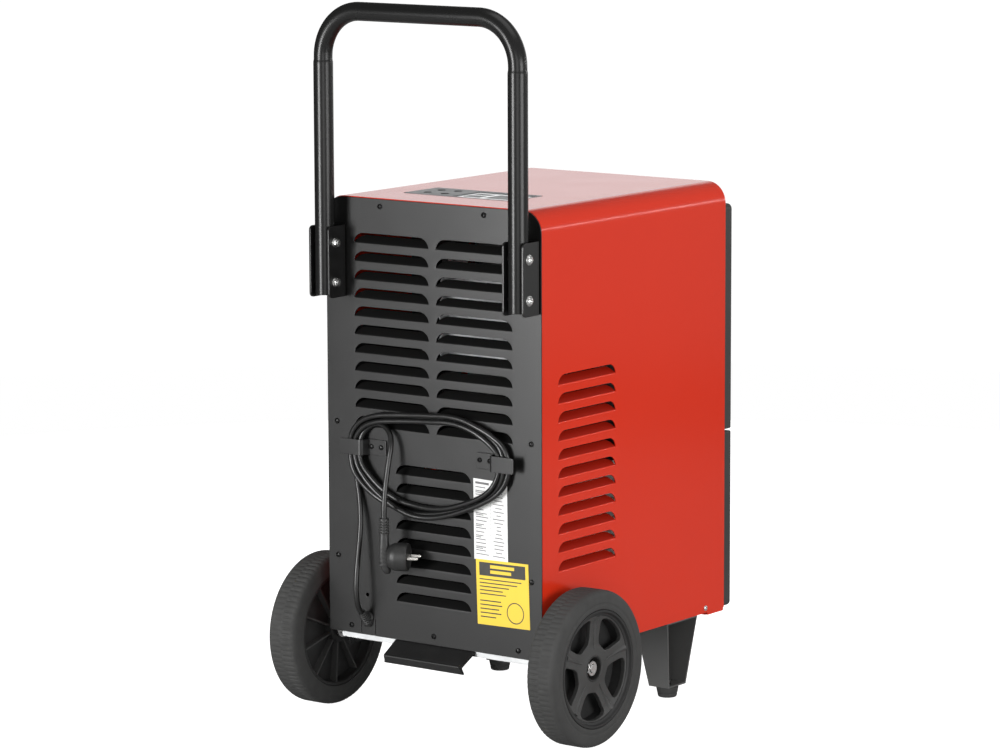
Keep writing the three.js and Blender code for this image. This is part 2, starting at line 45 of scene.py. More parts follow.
sin, cos, pi = math.sin, math.cos, math.pi

# ------------------------------------------------------------------ camera
def make_camera():
    data = bpy.data.cameras.new("camera")
    data.lens, data.sensor_width = 152.77, 36.0
    data.clip_start, data.clip_end = 0.1, 60.0
    cam = bpy.data.objects.new("camera", data)
    scene.collection.objects.link(cam)
    loc, tgt = Vector((-3.2385, 4.3899, 1.2789)), Vector((-0.07567, 0.1435, 0.46011))
    f = (tgt - loc).normalized()
    r = f.cross(Vector((0, 0, 1))).normalized()
    u = r.cross(f)
    a = rad(-0.2)
    r2, u2 = r * cos(a) + u * sin(a), u * cos(a) - r * sin(a)
    m = Matrix(((r2.x, u2.x, -f.x, loc.x), (r2.y, u2.y, -f.y, loc.y), (r2.z, u2.z, -f.z, loc.z), (0, 0, 0, 1)))
    cam.matrix_world = m
    scene.camera = cam
make_camera()

# ------------------------------------------------------------------ materials
def material(name, color, color2=None, rough=0.5, rough2=None, metal=0.0, patch=9.0, grain=900.0, bump=0.15, depth=0.0001,
             coat=0.0, coat_rough=0.1, ior=1.5, spec=None, transmission=0.0, stretch=None, aniso=0.0, wear=0.0, wear_color=(0.4, 0.4, 0.4)):
    """A procedural finish: slow colour and gloss variation, fine surface grain in the normal, and worn edges where asked."""
    m = bpy.data.materials.new(name)
    m.use_nodes = True
    nt = m.node_tree
    nt.nodes.clear()
    N, L = nt.nodes.new, nt.links.new
    out, b = N("ShaderNodeOutputMaterial"), N("ShaderNodeBsdfPrincipled")
    L(b.outputs[0], out.inputs[0])
    co = N("ShaderNodeTexCoord")
    src = co.outputs["Object"]
    if stretch:
        mp = N("ShaderNodeMapping")
        mp.inputs["Scale"].default_value = stretch
        L(src, mp.inputs["Vector"])
        fine_src = mp.outputs[0]
    else:
        fine_src = src
    slow = N("ShaderNodeTexNoise")
    slow.inputs["Scale"].default_value = patch
    slow.inputs["Detail"].default_value = 4.0
    L(src, slow.inputs["Vector"])
    c2 = color2 or tuple(c * 0.86 for c in color)
    ramp = N("ShaderNodeValToRGB")
    ramp.color_ramp.elements[0].position, ramp.color_ramp.elements[1].position = 0.35, 0.65
    ramp.color_ramp.elements[0].color = (*c2, 1)
    ramp.color_ramp.elements[1].color = (*color, 1)
    L(slow.outputs["Fac"], ramp.inputs["Fac"])
    last = ramp.outputs[0]
    if wear:
        geo = N("ShaderNodeNewGeometry")
        wr = N("ShaderNodeValToRGB")
        wr.color_ramp.elements[0].position, wr.color_ramp.elements[1].position = 0.53, 0.62
        wr.color_ramp.elements[0].color = (0, 0, 0, 1)
        wr.color_ramp.elements[1].color = (wear, wear, wear, 1)
        L(geo.outputs["Pointiness"], wr.inputs["Fac"])
        mix = N("ShaderNodeMix")
        mix.data_type = "RGBA"
        mix.inputs["B"].default_value = (*wear_color, 1)
        for s in mix.inputs:
            if s.name == "B" and s.type == "RGBA":
                s.default_value = (*wear_color, 1)
        L(wr.outputs[0], mix.inputs[0])
        a_in = [s for s in mix.inputs if s.name == "A" and s.type == "RGBA"][0]
        L(last, a_in)
        last = [s for s in mix.outputs if s.type == "RGBA"][0]
    L(last, b.inputs["Base Color"])
    fine = N("ShaderNodeTexNoise")
    fine.inputs["Scale"].default_value = grain
    fine.inputs["Detail"].default_value = 3.0
    L(fine_src, fine.inputs["Vector"])
    rr = N("ShaderNodeMapRange")
    rr.inputs["To Min"].default_value = rough
    rr.inputs["To Max"].default_value = rough2 if rough2 is not None else min(1.0, rough + 0.08)
    rr.inputs["From Min"].default_value, rr.inputs["From Max"].default_value = 0.3, 0.7
    mid = N("ShaderNodeTexNoise")
    mid.inputs["Scale"].default_value = patch * 5
    mid.inputs["Detail"].default_value = 5.0
    L(fine_src, mid.inputs["Vector"])
    L(mid.outputs["Fac"], rr.inputs["Value"])
    L(rr.outputs[0], b.inputs["Roughness"])
    if bump:
        bp = N("ShaderNodeBump")
        bp.inputs["Strength"].default_value = bump
        bp.inputs["Distance"].default_value = depth
        L(fine.outputs["Fac"], bp.inputs["Height"])
        L(bp.outputs[0], b.inputs["Normal"])
    b.inputs["Metallic"].default_value = metal
    b.inputs["IOR"].default_value = ior
    b.inputs["Coat Weight"].default_value = coat
    b.inputs["Coat Roughness"].default_value = coat_rough
    b.inputs["Transmission Weight"].default_value = transmission
    if aniso:
        b.inputs["Anisotropic"].default_value = aniso
    if spec is not None:
        b.inputs["Specular IOR Level"].default_value = spec
    return m

M = {}
M["red"] = material("red_powder_coat", (0.61, 0.0285, 0.0085), (0.595, 0.027, 0.008), rough=0.19, rough2=0.205, patch=3, grain=900, bump=0.03, depth=0.00004, spec=0.32)
M["grey"] = material("black_satin_paint", (0.009, 0.009, 0.0088), (0.007, 0.007, 0.007), rough=0.31, rough2=0.33, patch=6, grain=1500, bump=0.15, depth=0.00005, spec=0.56)
# painted shade: a darker, duller copy of the red paint for the casing's lanced louvre tongues, which are really the
# same paint
M["redshade"] = material("red_louvre_lance_painted_shade", (0.30, 0.0095, 0.003), (0.28, 0.009, 0.003), rough=0.4, rough2=0.45, patch=3, grain=900, bump=0.03, depth=0.00004, spec=0.1)
# painted shade: a darker copy of the black satin paint for the rear panel's lanced louvre tongues
M["greyshade"] = material("black_louvre_lance_painted_shade", (0.0045, 0.0045, 0.0044), (0.0038, 0.0038, 0.0037), rough=0.5, rough2=0.55, patch=6, grain=1500, bump=0.15, depth=0.00005, spec=0.15)
# painted light: a lighter copy of the black paint, standing in for light falling into the front legs' channels
M["leg"] = material("leg_paint_painted_light", (0.085, 0.085, 0.083), (0.075, 0.075, 0.073), rough=0.45, rough2=0.5, patch=6, grain=1500, bump=0.2, depth=0.00006)
M["handle"] = material("black_gloss_tube", (0.010, 0.010, 0.0098), (0.008, 0.008, 0.008), rough=0.26, rough2=0.28, patch=4, grain=900, bump=0.0, depth=0.00005, spec=0.3)
M["plastic"] = material("black_grained_plastic", (0.030, 0.030, 0.029), (0.025, 0.025, 0.024), rough=0.5, rough2=0.6, patch=10, grain=1600, bump=0.4, depth=0.0001)
M["wheel"] = material("moulded_wheel_plastic", (0.040, 0.040, 0.039), (0.033, 0.033, 0.032), rough=0.48, rough2=0.6, patch=18, grain=1300, bump=0.3, depth=0.0001)
# painted shade: a darker copy of the wheel plastic for the drum, hub and web, standing in for the shade in the rim's
# pockets
M["wheel_painted_shade"] = material("moulded_wheel_painted_shade", (0.012, 0.012, 0.0118), (0.010, 0.010, 0.0098), rough=0.55, rough2=0.65, patch=18, grain=1300, bump=0.3, depth=0.0001)
M["liner"] = material("felt_liner", (0.012, 0.012, 0.012), (0.008, 0.008, 0.008), rough=0.9, rough2=1.0, patch=30, grain=700, bump=0.6, depth=0.0003)
M["tyre"] = material("solid_rubber", (0.038, 0.038, 0.037), (0.031, 0.031, 0.030), rough=0.72, rough2=0.86, patch=14, grain=900, bump=0.45, depth=0.00015)
M["rubber"] = material("soft_rubber", (0.035, 0.035, 0.034), (0.027, 0.027, 0.026), rough=0.66, rough2=0.8, patch=20, grain=1100, bump=0.35, depth=0.0001)
M["cord"] = material("cord_sheath", (0.009, 0.009, 0.0088), (0.007, 0.007, 0.007), rough=0.28, rough2=0.34, patch=30, grain=1700, bump=0.25, depth=0.00006)
M["plug"] = material("plug_plastic", (0.020, 0.020, 0.0195), (0.015, 0.015, 0.015), rough=0.42, rough2=0.52, patch=30, grain=1500, bump=0.3, depth=0.00008)
M["zinc"] = material("galvanised_sheet", (0.66, 0.68, 0.69), (0.50, 0.52, 0.54), rough=0.34, rough2=0.5, metal=0.85, patch=70, grain=420, bump=0.15, depth=0.0001)
M["pale"] = material("pale_coated_pan", (0.72, 0.73, 0.735), (0.62, 0.63, 0.635), rough=0.35, rough2=0.5, metal=0.25, patch=40, grain=700, bump=0.15, depth=0.0001)
M["steel"] = material("bright_steel", (0.72, 0.72, 0.71), (0.58, 0.58, 0.57), rough=0.2, rough2=0.32, metal=1.0, patch=140, grain=1800, bump=0.15, depth=0.00005)
M["screw"] = material("black_oxide_screw", (0.02, 0.02, 0.02), (0.014, 0.014, 0.014), rough=0.22, rough2=0.32, metal=0.6, patch=120, grain=1800, bump=0.15, depth=0.00005)
M["copper"] = material("copper_tube", (0.72, 0.30, 0.15), (0.55, 0.21, 0.10), rough=0.24, rough2=0.42, metal=1.0, patch=35, grain=900, bump=0.15, depth=0.00008)
M["fins"] = material("pressed_fins", (0.62, 0.64, 0.66), (0.5, 0.52, 0.54), rough=0.35, rough2=0.5, metal=0.9, patch=25, grain=1200, bump=0.2, depth=0.0001)
M["tread"] = material("tread_black", (0.012, 0.012, 0.012), (0.009, 0.009, 0.009), rough=0.42, rough2=0.55, patch=12, grain=1200, bump=0.35, depth=0.0001, wear=0.12, wear_color=(0.10, 0.10, 0.10))
M["tank"] = material("tank_plastic", (0.80, 0.81, 0.79), (0.74, 0.75, 0.73), rough=0.32, rough2=0.42, patch=9, grain=700, bump=0.1, depth=0.0001)
M["mesh"] = material("filter_weave", (0.10, 0.10, 0.105), (0.07, 0.07, 0.075), rough=0.75, rough2=0.9, patch=12, grain=900, bump=0.4, depth=0.0001)
M["board"] = material("circuit_board", (0.015, 0.13, 0.045), (0.01, 0.10, 0.035), rough=0.35, rough2=0.5, patch=60, grain=500, bump=0.2, depth=0.0001)
M["float"] = material("float_foam", (0.75, 0.42, 0.10), (0.66, 0.35, 0.08), rough=0.8, rough2=0.95, patch=60, grain=600, bump=0.6, depth=0.0002)
M["bezel"] = material("bezel_plastic", (0.20, 0.205, 0.21), (0.17, 0.175, 0.18), rough=0.38, rough2=0.48, patch=20, grain=1500, bump=0.25, depth=0.00008)
M["button"] = material("button_plastic", (0.05, 0.05, 0.052), (0.035, 0.035, 0.037), rough=0.45, rough2=0.55, patch=60, grain=1500, bump=0.3, depth=0.00008)
M["display"] = material("display_window", (0.24, 0.27, 0.265), (0.22, 0.25, 0.245), rough=0.08, rough2=0.14, patch=14, grain=500, bump=0.03, depth=0.00005, coat=0.6, coat_rough=0.04)
M["sticker"] = material("sticker_white", (0.85, 0.85, 0.84), (0.82, 0.82, 0.81), rough=0.4, rough2=0.5, patch=20, grain=700, bump=0.08, depth=0.00005)
M["yellow"] = material("sticker_yellow", (0.84, 0.585, 0.036), (0.82, 0.57, 0.034), rough=0.38, rough2=0.48, patch=20, grain=700, bump=0.08, depth=0.00005)
M["ink"] = material("print_grey", (0.16, 0.16, 0.16), (0.12, 0.12, 0.12), rough=0.45, rough2=0.55, patch=60, grain=900, bump=0.05, depth=0.00003)
M["inkdark"] = material("print_dark", (0.035, 0.033, 0.03), (0.025, 0.024, 0.02), rough=0.45, rough2=0.55, patch=60, grain=900, bump=0.05, depth=0.00003)
M["foam"] = material("pipe_foam", (0.84, 0.85, 0.86), (0.70, 0.71, 0.72), rough=0.5, rough2=0.8, metal=0.2, patch=60, grain=300, bump=0.6, depth=0.0006)
M["brass"] = material("plug_pin", (0.82, 0.80, 0.76), (0.72, 0.70, 0.66), rough=0.18, rough2=0.28, metal=1.0, patch=120, grain=1500, bump=0.1, depth=0.00003)

# ------------------------------------------------------------------ geometry helpers
def emit(name, bm, mat, body="chassis", smooth=35, bevel=0.0, seg=2, limit=35, wn=True, replaces=(), merge=1e-4, parent=None):
    if merge:
        bmesh.ops.remove_doubles(bm, verts=bm.verts, dist=merge)
    bmesh.ops.recalc_face_normals(bm, faces=bm.faces)
    bm.transform(Matrix.Scale(MM, 4))
    me = bpy.data.meshes.new(name)
    bm.to_mesh(me)
    bm.free()
    me.shade_smooth()
    if not bevel:
        me.set_sharp_from_angle(angle=rad(smooth))
    me.materials.append(M[mat] if isinstance(mat, str) else mat)
    ob = bpy.data.objects.new(name, me)
    scene.collection.objects.link(ob)
    finish_edges(ob, bevel, seg, limit, wn)
    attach(ob, body)
    if replaces:
        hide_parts(*replaces)
    return ob

def finish_edges(ob, bevel=0.0, seg=2, limit=35, wn=True):
    if bevel:
        m = ob.modifiers.new("edge", "BEVEL")
        m.width, m.segments, m.limit_method, m.angle_limit = bevel * MM, seg, "ANGLE", rad(limit)
        m.miter_outer = "MITER_ARC"
    if wn:
        w = ob.modifiers.new("normals", "WEIGHTED_NORMAL")
        w.keep_sharp, w.weight = True, 60

def dress(node, mat, bevel=0.0, seg=2, smooth=35):
    """Keeps a CAD node, with a finish and softened edges."""
    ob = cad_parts[node]
    ob.data.materials.clear()
    ob.data.materials.append(M[mat])
    if bevel:
        finish_edges(ob, bevel, seg)
    return ob

def add_faces(bm, verts, faces, mat=None):
    vs = [bm.verts.new(v if mat is None else mat @ Vector(v)) for v in verts]
    for f in faces:
        try:
            bm.faces.new([vs[i] for i in f])
        except ValueError:
            pass
    return vs

def add_box(bm, x0, x1, y0, y1, z0, z1, mat=None):
    v = [(x, y, z) for x in (x0, x1) for y in (y0, y1) for z in (z0, z1)]
    return add_faces(bm, v, [(0, 1, 3, 2), (4, 6, 7, 5), (0, 4, 5, 1), (2, 3, 7, 6), (0, 2, 6, 4), (1, 5, 7, 3)], mat)

def area2(p):
    return sum(p[i][0] * p[(i + 1) % len(p)][1] - p[(i + 1) % len(p)][0] * p[i][1] for i in range(len(p)))

def rrect(x0, x1, y0, y1, r, n=5):
    """Rounded rectangle, counterclockwise; r may be four radii from the lower left round."""
    rs = r if isinstance(r, (list, tuple)) else [r] * 4
    out = []
    for (cx, cy, a), q in zip([(x0, y0, 180), (x1, y0, 270), (x1, y1, 0), (x0, y1, 90)], rs):
        if q <= 0:
            out.append((cx, cy))
            continue
        ox, oy = (cx + q if cx == x0 else cx - q), (cy + q if cy == y0 else cy - q)
        for i in range(n + 1):
            t = rad(a + 90 * i / n)
            out.append((ox + q * cos(t), oy + q * sin(t)))
    return out

def circle(cx, cy, r, n=24, a0=0):
    return [(cx + r * cos(rad(a0) + 2 * pi * i / n), cy + r * sin(rad(a0) + 2 * pi * i / n)) for i in range(n)]

def offset(pts, offs):
    """Loop with its material on the left, each edge moved into the material by its own amount."""
    n, out = len(pts), []
    for i in range(n):
        p0, p1, p2 = Vector(pts[i - 1]), Vector(pts[i]), Vector(pts[(i + 1) % n])
        d1, d2 = (p1 - p0).normalized(), (p2 - p1).normalized()
        n1, n2 = Vector((-d1.y, d1.x)), Vector((-d2.y, d2.x))
        o1, o2 = offs[i - 1], offs[i]
        det = n1.x * n2.y - n1.y * n2.x
        if abs(det) < 1e-3:
            q = p1 + n1 * ((o1 + o2) / 2)
        else:
            q = p1 + Vector(((o1 * n2.y - o2 * n1.y) / det, (n1.x * o2 - n2.x * o1) / det))
        out.append((q.x, q.y))
    return out

def sheet_bm(outer, holes=(), t=1.5, b=0.3, seg=2, hinge=(), back=True):
    """A flat sheet in (u, v, d) with rounded edges, d from 0 at its face to t at its back. hinge holds (hole, edge) pairs that stay square."""
    bm = bmesh.new()
    loops = []
    for k, loop in enumerate([outer, *holes]):
        pts = list(loop)
        flags = [b] * len(pts)
        for h, e in hinge:
            if h == k - 1:
                flags[e] = 0.0
        if (area2(pts) > 0) != (k == 0):
            n = len(pts)
            pts = pts[::-1]
            flags = [flags[(n - 2 - j) % n] for j in range(n)]
        loops.append((pts, flags))
    levels = [(b * (1 - sin(pi / 2 * i / seg)), b * (1 - cos(pi / 2 * i / seg))) for i in range(seg + 1)]
    full = levels + [(o, t - d) for o, d in reversed(levels)] if back else levels
    rings = []
    for pts, flags in loops:
        rr = []
        for o, d in full:
            q = offset(pts, [o if f else 0.0 for f in flags]) if o else pts
            rr.append([bm.verts.new((x, y, d)) for x, y in q])
        for r0, r1 in zip(rr, rr[1:]):
            n = len(r0)
            for i in range(n):
                j = (i + 1) % n
                bm.faces.new((r0[i], r0[j], r1[j], r1[i]))
        rings.append(rr)
    for which in ((0, -1) if back else (0,)):
        vs = [r[which] for r in rings]
        flat = [v for r in vs for v in r]
        tris = tessellate_polygon([[Vector((v.co.x, v.co.y, 0)) for v in r] for r in vs])
        for a, c, e in tris:
            try:
                bm.faces.new((flat[a], flat[c], flat[e]))
            except ValueError:
                pass
    return bm

def remap(bm, fn, cuts=()):
    for c in cuts:
        bmesh.ops.bisect_plane(bm, geom=bm.verts[:] + bm.edges[:] + bm.faces[:], dist=1e-5, plane_co=(c, 0, 0), plane_no=(1, 0, 0))
    for v in bm.verts:
        v.co = fn(v.co.x, v.co.y, v.co.z)
    return bm

def folder(p0, ang, segs, side=1, n=6):
    """Cross-section path of a folded sheet's face: segs are (length, turn in degrees). Returns (point and inward normal at u, cut places)."""
    table, cuts, u, P, a = [], [], 0.0, Vector(p0), rad(ang)
    for length, turn in segs:
        t = rad(turn)
        table.append((u, length, P.copy(), a, t))
        if u > 0:
            cuts.append(u)
        if t:
            cuts += [u + length * k / n for k in range(1, n)]
            R = length / t
            P = P + Vector((sin(a + t) - sin(a), cos(a) - cos(a + t))) * R
            a += t
        else:
            P = P + Vector((cos(a), sin(a))) * length
        u += length
    def at(x):
        row = table[0]
        for r in table:
            if x >= r[0] - 1e-7:
                row = r
        u0, length, P0, a0, t = row
        s = x - u0
        if t:
            R = length / t
            q = s / R
            return P0 + Vector((sin(a0 + q) - sin(a0), cos(a0) - cos(a0 + q))) * R, Vector((-sin(a0 + q), cos(a0 + q))) * side
        return P0 + Vector((cos(a0), sin(a0))) * s, Vector((-sin(a0), cos(a0))) * side
    return at, cuts, u

def slot_loop(o, h, p, W, H=14.0, rx=14.5, n=8):
    """Louvre opening: straight hinge edge from o along h, quarter-elliptic upper corners. Edge 0 is the hinge."""
    o, h, p = Vector(o), Vector(h), Vector(p)
    pts = [(0, 0), (W, 0)]
    for i in range(1, n + 1):
        a = pi / 2 * i / n
        pts.append((W - rx + rx * cos(a), H * sin(a)))
    for i in range(0, n):
        a = pi / 2 * (1 + i / n)
        pts.append((rx + rx * cos(a), H * sin(a)))
    out = [o + h * a + p * b for a, b in pts]
    return [(q.x, q.y) for q in out]

def add_flap(bm, o, h, p, W, H=14.0, rx=14.5, t=1.5, A=45.0, Ri=0.8, kerf=0.35):
    """The tongue lanced out of a louvre opening, bent inward by A about the hinge edge."""
    o, h, p = Vector(o), Vector(h), Vector(p)
    A = rad(A)
    Ro = Ri + t
    arc = (Ri + t / 2) * A
    hs = [arc * i / 4 for i in range(5)] + [arc + (H - kerf - arc) * (1 - cos(pi / 2 * i / 9)) * 0.0 + (H - kerf - arc) * sin(pi / 2 * i / 9) for i in range(1, 10)]
    rows = []
    for s in hs:
        if s <= arc + 1e-9:
            a = s / (Ri + t / 2)
            f, g = (Ro * sin(a), Ro - Ro * cos(a)), (Ri * sin(a), Ro - Ri * cos(a))
        else:
            q = s - arc
            f = (Ro * sin(A) + q * cos(A), Ro - Ro * cos(A) + q * sin(A))
            g = (Ri * sin(A) + q * cos(A), Ro - Ri * cos(A) + q * sin(A))
        e = min(1.0, s / H)
        inset = rx * (1 - math.sqrt(max(0.0, 1 - e * e))) + (kerf if s > 0 else kerf * 0.5)
        row = []
        for w, (v, d) in ((inset, f), (W - inset, f), (W - inset, g), (inset, g)):
            q2 = o + h * w + p * v
            row.append(bm.verts.new((q2.x, q2.y, d)))
        rows.append(row)
    for r0, r1 in zip(rows, rows[1:]):
        for i in range(4):
            j = (i + 1) % 4
            bm.faces.new((r0[i], r0[j], r1[j], r1[i]))
    bm.faces.new(rows[0])
    bm.faces.new(rows[-1])

def add_prism(bm, loop, plane, a, b, mat=None):
    """Polygon extruded: xz along Y, yz along X, xy along Z."""
    def at(p, t):
        return {"xz": (p[0], t, p[1]), "yz": (t, p[0], p[1]), "xy": (p[0], p[1], t)}[plane]
    n = len(loop)
    verts = [at(p, a) for p in loop] + [at(p, b) for p in loop]
    faces = [tuple(range(n)), tuple(range(2 * n - 1, n - 1, -1))] + [(i, (i + 1) % n, n + (i + 1) % n, n + i) for i in range(n)]
    return add_faces(bm, verts, faces, mat)

def axis_matrix(axis, centre):
    """Takes local Z to the axis, at centre."""
    d = Vector(axis).normalized() if not isinstance(axis, str) else Vector({"x": (1, 0, 0), "y": (0, 1, 0), "z": (0, 0, 1), "-x": (-1, 0, 0), "-y": (0, -1, 0), "-z": (0, 0, -1)}[axis])
    return Matrix.Translation(Vector(centre)) @ d.to_track_quat("Z", "Y").to_matrix().to_4x4()

def add_lathe(bm, profile, axis="z", centre=(0, 0, 0), seg=32, closed=False, mat=None, mod=None):
    """Revolves (radius, height) pairs. An open profile starts and ends on the axis, or is capped."""
    m = mat or axis_matrix(axis, centre)
    rings = []
    for k, (r, h) in enumerate(profile):
        if r < 1e-6:
            rings.append([bm.verts.new(m @ Vector((0, 0, h)))])
        else:
            rings.append([bm.verts.new(m @ Vector(((r + (mod(k, 2 * pi * i / seg) if mod else 0)) * cos(2 * pi * i / seg), (r + (mod(k, 2 * pi * i / seg) if mod else 0)) * sin(2 * pi * i / seg), h))) for i in range(seg)])
    pairs = list(zip(rings, rings[1:])) + ([(rings[-1], rings[0])] if closed else [])
    for a, b in pairs:
        for i in range(seg):
            j = (i + 1) % seg
            if len(a) == 1 and len(b) == 1:
                continue
            if len(a) == 1:
                bm.faces.new((a[0], b[i], b[j]))
            elif len(b) == 1:
                bm.faces.new((a[i], a[j], b[0]))
            else:
                bm.faces.new((a[i], a[j], b[j], b[i]))
    if not closed:
        for r in (rings[0], rings[-1]):
            if len(r) > 1:
                bm.faces.new(r)

def soften(profile, r=0.6, n=3):
    """Rounds the corners of an open (radius, height) profile."""
    out = [profile[0]]
    for i in range(1, len(profile) - 1):
        p0, p1, p2 = Vector(profile[i - 1]), Vector(profile[i]), Vector(profile[i + 1])
        a, b = p0 - p1, p2 - p1
        if a.length < 1e-6 or b.length < 1e-6:
            continue
        q = min(r, a.length * 0.45, b.length * 0.45)
        s, e = p1 + a.normalized() * q, p1 + b.normalized() * q
        for k in range(n + 1):
            t = k / n
            v = s * (1 - t) ** 2 + p1 * 2 * t * (1 - t) + e * t ** 2
            out.append((v.x, v.y))
    out.append(profile[-1])
    return out

def add_tube(bm, pts, r, sides=16, caps=True, up=Vector((0, 1, 0))):
    """Round tube along points; r is one radius or one for each point."""
    P = [Vector(p) for p in pts]
    n = len(P)
    rs = r if isinstance(r, (list, tuple)) else [r] * n
    rings = []
    u = Vector(up)
    for i in range(n):
        t = Vector((0, 0, 0))
        if i > 0:
            t += (P[i] - P[i - 1]).normalized()
        if i < n - 1:
            t += (P[i + 1] - P[i]).normalized()
        t.normalize()
        if abs(u.dot(t)) > 0.95:
            u = Vector((1, 0, 0)) if abs(t.x) < 0.9 else Vector((0, 0, 1))
        u = (u - t * u.dot(t)).normalized()
        w = t.cross(u)
        rings.append([bm.verts.new(P[i] + (u * cos(2 * pi * k / sides) + w * sin(2 * pi * k / sides)) * rs[i]) for k in range(sides)])
    for a, b in zip(rings, rings[1:]):
        for k in range(sides):
            j = (k + 1) % sides
            bm.faces.new((a[k], a[j], b[j], b[k]))
    if caps:
        bm.faces.new(rings[0])
        bm.faces.new(rings[-1])

def spline(pts, n):
    """Centripetal-like smooth resampling: n spaced points through the control points."""
    P = [Vector(p) for p in pts]
    dense = []
    for i in range(len(P) - 1):
        p0 = P[i - 1] if i > 0 else P[0] * 2 - P[1]
        p1, p2 = P[i], P[i + 1]
        p3 = P[i + 2] if i + 2 < len(P) else P[-1] * 2 - P[-2]
        t0 = 0.0
        t1 = t0 + max(1e-6, (p1 - p0).length) ** 0.5
        t2 = t1 + max(1e-6, (p2 - p1).length) ** 0.5
        t3 = t2 + max(1e-6, (p3 - p2).length) ** 0.5
        for k in range(24):
            t = t1 + (t2 - t1) * k / 24
            A1 = p0 * ((t1 - t) / (t1 - t0)) + p1 * ((t - t0) / (t1 - t0))
            A2 = p1 * ((t2 - t) / (t2 - t1)) + p2 * ((t - t1) / (t2 - t1))
            A3 = p2 * ((t3 - t) / (t3 - t2)) + p3 * ((t - t2) / (t3 - t2))
            B1 = A1 * ((t2 - t) / (t2 - t0)) + A2 * ((t - t0) / (t2 - t0))
            B2 = A2 * ((t3 - t) / (t3 - t1)) + A3 * ((t - t1) / (t3 - t1))
            dense.append(B1 * ((t2 - t) / (t2 - t1)) + B2 * ((t - t1) / (t2 - t1)))
    dense.append(P[-1])
    acc = [0.0]
    for a, b in zip(dense, dense[1:]):
        acc.append(acc[-1] + (b - a).length)
    out, j = [], 0
    for k in range(n):
        s = acc[-1] * k / (n - 1)
        while j < len(acc) - 2 and acc[j + 1] < s:
            j += 1
        f = (s - acc[j]) / max(1e-9, acc[j + 1] - acc[j])
        out.append(dense[j].lerp(dense[j + 1], min(1.0, max(0.0, f))))
    return out, acc[-1]

def add_screw(bm, pos, axis, r=3.6, h=2.2, slot=True, spin=0.0):
    """Pan-head screw with a cross recess, sitting on a face."""
    m = axis_matrix(axis, pos) @ Matrix.Rotation(spin, 4, "Z")
    # head: outer dome in rings, recess formed by a star-shaped inner ring dropped below
    seg = 24
    rings = []
    for rr, hh in ((r, 0.0), (r, h * 0.25), (r * 0.93, h * 0.6), (r * 0.74, h * 0.88)):
        rings.append([(rr * cos(2 * pi * i / seg), rr * sin(2 * pi * i / seg), hh) for i in range(seg)])
    def star(i, a, b):
        k = i % 6
        return a if k in (0, 1, 5) else b
    for hh, a, b in ((h, r * 0.58, r * 0.24), (h * 0.45, r * 0.44, r * 0.16)):
        rings.append([(star(i, a, b) * cos(2 * pi * i / seg), star(i, a, b) * sin(2 * pi * i / seg), hh) for i in range(seg)])
    vs = [[bm.verts.new(m @ Vector(p)) for p in ring] for ring in rings]
    for a, b in zip(vs, vs[1:]):
        for i in range(seg):
            j = (i + 1) % seg
            bm.faces.new((a[i], a[j], b[j], b[i]))
    bm.faces.new(vs[0])
    bm.faces.new(vs[-1])

def add_nut(bm, pos, axis, af, h, bore=0.0, spin=0.0):
    """Hex nut with chamfered corners."""
    m = axis_matrix(axis, pos) @ Matrix.Rotation(spin, 4, "Z")
    R = af / math.sqrt(3)
    seg = 36
    def hexr(i):
        a = (360.0 * i / seg) % 60 - 30
        return af / 2 / cos(rad(a))
    rings = []
    for f, z in ((0.90, 0.0), (1.0, h * 0.14), (1.0, h * 0.86), (0.90, h)):
        rings.append([(min(hexr(i), R * 0.985 if f == 1.0 else af / 2 * 0.99) * cos(2 * pi * i / seg), min(hexr(i), R * 0.985 if f == 1.0 else af / 2 * 0.99) * sin(2 * pi * i / seg), z) for i in range(seg)])
    if bore:
        rings = [[(bore * cos(2 * pi * i / seg), bore * sin(2 * pi * i / seg), z) for i in range(seg)] for z in (h * 0.5,)][:0] + rings
    vs = [[bm.verts.new(m @ Vector(p)) for p in ring] for ring in rings]
    for a, b in zip(vs, vs[1:]):
        for i in range(seg):
            j = (i + 1) % seg
            bm.faces.new((a[i], a[j], b[j], b[i]))
    if bore:
        inner = [[bm.verts.new(m @ Vector((bore * cos(2 * pi * i / seg), bore * sin(2 * pi * i / seg), z))) for i in range(seg)] for z in (0.0, h)]
        for i in range(seg):
            j = (i + 1) % seg
            bm.faces.new((inner[0][i], inner[0][j], inner[1][j], inner[1][i]))
            bm.faces.new((vs[0][i], vs[0][j], inner[0][j], inner[0][i]))
            bm.faces.new((vs[-1][i], vs[-1][j], inner[1][j], inner[1][i]))
    else:
        bm.faces.new(vs[0])
        bm.faces.new(vs[-1])

def mirror(bm):
    """A copy mirrored to the other side."""
    c = bm.copy()
    for v in c.verts:
        v.co.x = -v.co.x
    return c

